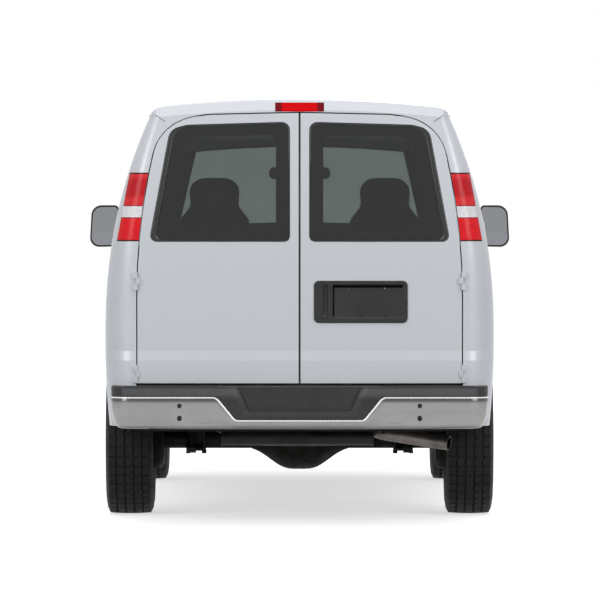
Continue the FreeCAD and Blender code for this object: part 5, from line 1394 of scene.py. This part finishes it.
where, _ = struck(screen_faces, (0.0, 1.2, 1.80), (0, 1, 0))
shell_back = where.y - 0.040
outline = rounded([(-0.172, 1.722), (0.172, 1.722), (0.176, 1.790), (-0.176, 1.790)], [0.026, 0.026, 0.030, 0.030], 8)
case = carved("inner mirror", prism("inner mirror", outline, shell_back, shell_back + 0.016, "Y"), [], bevel=0.004)
bm = bmesh.new()
add_tube(bm, [(0.0, shell_back + 0.014, 1.765), (0.0, where.y - 0.006, 1.800), (0.0, where.y - 0.001, 1.804)], 0.008,
         12)
new_piece("interior_mirror", joined("inner mirror", [case, mesh_from("mirror stalk", bm)]), CAB_PLASTIC, "chassis",
          smooth=False)


# Front seats: two high-backed bucket seats in dark woven cloth, each on a steel pedestal.
# The padding is one foam block for the cushion and one for the back, whose top narrows to the head restraint.

def woven_cloth():
    finish, tree, shader = new_finish("seat cloth", (0.06, 0.06, 0.06), 0.92, specular=0.15)
    shader.inputs["Sheen Weight"].default_value = 0.35
    place, _, _, _ = spot(tree)
    threads = []
    for direction in ("X", "Z"):
        wave = tree.nodes.new("ShaderNodeTexWave")
        wave.bands_direction = direction
        wave.inputs["Scale"].default_value = 260.0
        wave.inputs["Distortion"].default_value = 0.8
        tree.links.new(place, wave.inputs["Vector"])
        threads.append(wave.outputs["Fac"])
    weave = worked(tree, "MULTIPLY", *threads)
    tone = blended(tree, between(tree, grain(tree, 14.0, 4.0), 0.35, 0.7), (0.062, 0.064, 0.066),
                   (0.082, 0.084, 0.086))
    laid(tree, shader, blended(tree, weave, tone, (0.11, 0.112, 0.114)), bump=(weave, 0.5, 0.0006))
    return finish


FOAM_VOXEL = 0.009
CLOTH_STEPS = 20


def foam(name, start, cap, pressure):
    """A padded block: voxel remeshed, swollen as cloth under pressure, each point held to a most it may move."""
    holder = stood(name, start)
    remesh = holder.modifiers.new("remesh", "REMESH")
    remesh.mode = "VOXEL"
    remesh.voxel_size = FOAM_VOXEL
    mesh = as_shown(holder)
    swollen = stood(name, mesh)
    cloth = swollen.modifiers.new("cloth", "CLOTH")
    cloth.settings.use_pressure = True
    cloth.settings.uniform_pressure_force = pressure
    cloth.settings.effector_weights.gravity = 0.0
    cloth.point_cache.frame_start, cloth.point_cache.frame_end = 1, CLOTH_STEPS
    for step in range(1, CLOTH_STEPS + 1):
        bpy.context.scene.frame_set(step)
    moved = as_shown(swollen)
    for vertex, rest in zip(moved.vertices, mesh.vertices):
        shift = vertex.co - rest.co
        if shift.length > cap:
            vertex.co = rest.co + shift * (cap / shift.length)
    bpy.context.scene.frame_set(1)
    return moved


CHANNEL_DEPTH, CHANNEL_WIDTH = 0.0075, 0.007


def channelled(mesh, channels, direction):
    """Sewn channels across a pad's front: the cloth is drawn in along each line of x."""
    facing = Vector(direction)
    mesh.update()
    depths = []
    for vertex in mesh.vertices:
        near = [CHANNEL_DEPTH * math.exp(-((vertex.co.x - x) / CHANNEL_WIDTH) ** 2) for x in channels]
        depths.append(max(near) if vertex.normal.dot(facing) > 0.4 else 0.0)
    for vertex, depth in zip(mesh.vertices, depths):
        vertex.co -= facing * depth


SEAT_CLOTH = woven_cloth()
SEAT_X = 0.470
back_outline = rounded([(-0.214, 0.958), (0.214, 0.958), (0.216, 1.500), (0.152, 1.585), (0.148, 1.752),
                        (-0.148, 1.752), (-0.152, 1.585), (-0.216, 1.500)],
                       [0.05, 0.05, 0.08, 0.05, 0.10, 0.10, 0.05, 0.08], 8)


def leant(mesh):
    """The seat back's rake: its depth goes from 0 to 1 in y and is spread between its rear and front faces."""
    for vertex in mesh.vertices:
        z = vertex.co.z
        rear = 0.600 - 0.080 * (z - 0.935) / 0.625
        front = 0.735 - 0.100 * (z - 0.935) / 0.625
        if z > 1.54:
            rear = 0.5224 + 0.004 * (z - 1.54)
            front = min(front, 0.612)
        vertex.co.y = rear + 0.011 + (front - rear - 0.022) * vertex.co.y


back_bm = bmesh.new()
back_bm.from_mesh(prism("back", back_outline, 0.0, 1.0, "Y"))
for z in (1.06, 1.18, 1.30, 1.42, 1.54, 1.62, 1.68):
    bmesh.ops.bisect_plane(back_bm, geom=back_bm.verts[:] + back_bm.edges[:] + back_bm.faces[:],
                           plane_co=(0, 0, z), plane_no=(0, 0, 1))
back_block = mesh_from("seat back", back_bm, recalculate=False)
leant(back_block)
back_pad = foam("seat back", back_block, 0.022, 4.0)
channelled(back_pad, (-0.115, 0.115), (0, 1, 0))
cushion_profile = rounded([(0.585, 0.873), (1.020, 0.873), (1.034, 0.973), (0.600, 0.955)], [0.03, 0.045, 0.05, 0.03],
                          6)
cushion_pad = foam("seat cushion", prism("cushion", cushion_profile, -0.232, 0.232, "X"), 0.022, 4.0)
channelled(cushion_pad, (-0.125, 0.125), (0, 0, 1))
PEDESTAL_STEEL = grained_plastic("pedestal paint", (0.022, 0.022, 0.023), (0.035, 0.035, 0.035), 0.5, 300.0)
WELT = grained_plastic("seat welt", (0.030, 0.030, 0.031), (0.045, 0.045, 0.045), 0.7, 500.0)
WELT_LINE = rounded([(-0.180, 0.995), (0.180, 0.995), (0.184, 1.475), (0.116, 1.575), (0.106, 1.695), (-0.106, 1.695),
                     (-0.116, 1.575), (-0.184, 1.475)], [0.04, 0.04, 0.08, 0.05, 0.08, 0.08, 0.05, 0.08], 6)
for side, sign in (("left", -1), ("right", 1)):
    shift = Matrix.Translation((sign * SEAT_X, 0, 0))
    for part, pad in (("back", back_pad), ("cushion", cushion_pad)):
        mesh = pad.copy()
        mesh.transform(shift)
        piece = new_piece(f"seat_{part}_{side}", mesh, SEAT_CLOTH, "chassis")
        finer = piece.modifiers.new("finer", "SUBSURF")
        finer.levels = finer.render_levels = 1
        if part == "back":
            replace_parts(piece, "front_seats")
    pad_faces = BVHTree.FromPolygons([shift @ v.co for v in back_pad.vertices],
                                     [p.vertices for p in back_pad.polygons])
    x = sign * SEAT_X
    bm = bmesh.new()
    for start_y, toward in ((0.30, 1), (0.95, -1)):
        path = []
        for across, z in WELT_LINE:
            where, normal = struck(pad_faces, (x + across, start_y, z), (0, toward, 0))
            if where is not None:
                path.append(where - normal * 0.0005)
        add_tube(bm, path, 0.0034, 6, closed=True)
    new_piece(f"seat_welt_{side}", mesh_from("seat welt", bm), WELT, "chassis")
    pedestal = carved("pedestal", prism("pedestal", [(0.615, 0.7085), (0.975, 0.7085), (0.930, 0.858), (0.640, 0.858)],
                                        x - 0.185, x + 0.185, "X"),
                      [("DIFFERENCE", prism("window", rounded([(0.690, 0.740), (0.890, 0.740), (0.870, 0.825),
                                                               (0.705, 0.825)], 0.02, 4), x - 0.3, x + 0.3, "X"))],
                      bevel=0.006)
    bm = bmesh.new()
    for offset in (-0.150, 0.150):
        add_box(bm, (x + offset - 0.018, 0.610, 0.857), (x + offset + 0.018, 1.000, 0.872))
    for reach in (-1, 1):
        add_tube(bm, [(x + reach * 0.238, 0.655, 0.885), (x + reach * 0.246, 0.655, 0.885)], 0.052, 28)
        add_box(bm, (x + reach * 0.2375 - 0.0035, 0.640, 0.860), (x + reach * 0.2375 + 0.0035, 0.900, 0.905))
    add_tube(bm, [(x - 0.262, 0.700, 0.880), (x - 0.266, 0.760, 0.872), (x - 0.266, 0.850, 0.872)], 0.009, 10)
    rails = mesh_from("seat rails", bm)
    new_piece(f"seat_frame_{side}", joined("seat frame", [pedestal, rails]), PEDESTAL_STEEL, "chassis",
              smooth=False)


# Floor, backdrop, light and camera: a pale studio floor that keeps the van's shadow.
# Soft light comes from above and from behind the camera; floor and backdrop look white only to the camera.

def seen_directly(tree):
    """1 for a ray from the camera, or one that a mirror or a pane has passed on; 0 for a bounce of light."""
    rays = tree.nodes.new("ShaderNodeLightPath").outputs
    passed_on = worked(tree, "MAXIMUM", rays["Is Glossy Ray"], rays["Is Transmission Ray"])
    return worked(tree, "MAXIMUM", rays["Is Camera Ray"], passed_on)


def floor_finish():
    """A white sweep that keeps the object's shadow, and throws little light back up."""
    finish, tree, shader = new_finish("studio floor", (0.9, 0.9, 0.9), 0.9, specular=0.0)
    seen = seen_directly(tree)
    laid(tree, shader, blended(tree, seen, (0.25, 0.25, 0.25), (0.90, 0.90, 0.90)))
    shader.inputs["Emission Color"].default_value = (1.0, 1.0, 1.0, 1.0)
    tree.links.new(between(tree, seen, 0.0, 1.0, 0.0, 0.62), shader.inputs["Emission Strength"])
    return finish


bm = bmesh.new()
bmesh.ops.create_circle(bm, cap_ends=True, radius=90.0, segments=64)
floor = stood("studio_floor", mesh_from("studio floor", bm, recalculate=False))
floor.data.materials.append(floor_finish())

world = bpy.data.worlds.new("studio")
bpy.context.scene.world = world
world.use_nodes = True
sky = world.node_tree
backdrop = sky.nodes["Background"]
backdrop.inputs["Color"].default_value = (1.0, 1.0, 1.0, 1.0)
backdrop.inputs["Strength"].default_value = 1.0
soft = sky.nodes.new("ShaderNodeBackground")
soft.inputs["Color"].default_value = (0.93, 0.96, 1.0, 1.0)
soft.inputs["Strength"].default_value = 0.5
choice = sky.nodes.new("ShaderNodeMixShader")
sky.links.new(seen_directly(sky), choice.inputs["Fac"])
sky.links.new(soft.outputs["Background"], choice.inputs[1])
sky.links.new(backdrop.outputs["Background"], choice.inputs[2])
sky.links.new(choice.outputs["Shader"], sky.nodes["World Output"].inputs["Surface"])


def soft_box(name, place, target, size, power):
    """A large square lamp that faces a point."""
    data = bpy.data.lights.new(name, "AREA")
    data.shape = "SQUARE"
    data.size = size
    data.energy = power
    lamp = stood(name, data)
    lamp.location = place
    lamp.rotation_euler = (Vector(target) - Vector(place)).to_track_quat("-Z", "Y").to_euler()


soft_box("over light", (0, -2.5, 9.0), (0, -1.0, 1.0), 9.0, 280)
soft_box("left key light", (-7.5, -12.0, 5.5), (0, 0, 1.0), 5.0, 385)
soft_box("right key light", (7.5, -12.0, 5.5), (0, 0, 1.0), 5.0, 385)
soft_box("front light", (3.0, 13.0, 6.0), (0, 0, 1.0), 6.0, 420)

CAMERA_BACK = 32.68
CAMERA_HEIGHT = 1.80
PITCH_DOWN = math.radians(1.28)
LENS = 361.4
camera = stood("camera", bpy.data.cameras.new("camera"))
camera.data.lens = LENS
camera.data.sensor_width = 36.0
camera.data.clip_end = 400.0
camera.location = (0.002, -CAMERA_BACK, CAMERA_HEIGHT)
camera.rotation_euler = (math.radians(90) - PITCH_DOWN, 0, 0)
bpy.context.scene.camera = camera
bpy.context.scene.view_settings.view_transform = "Standard"
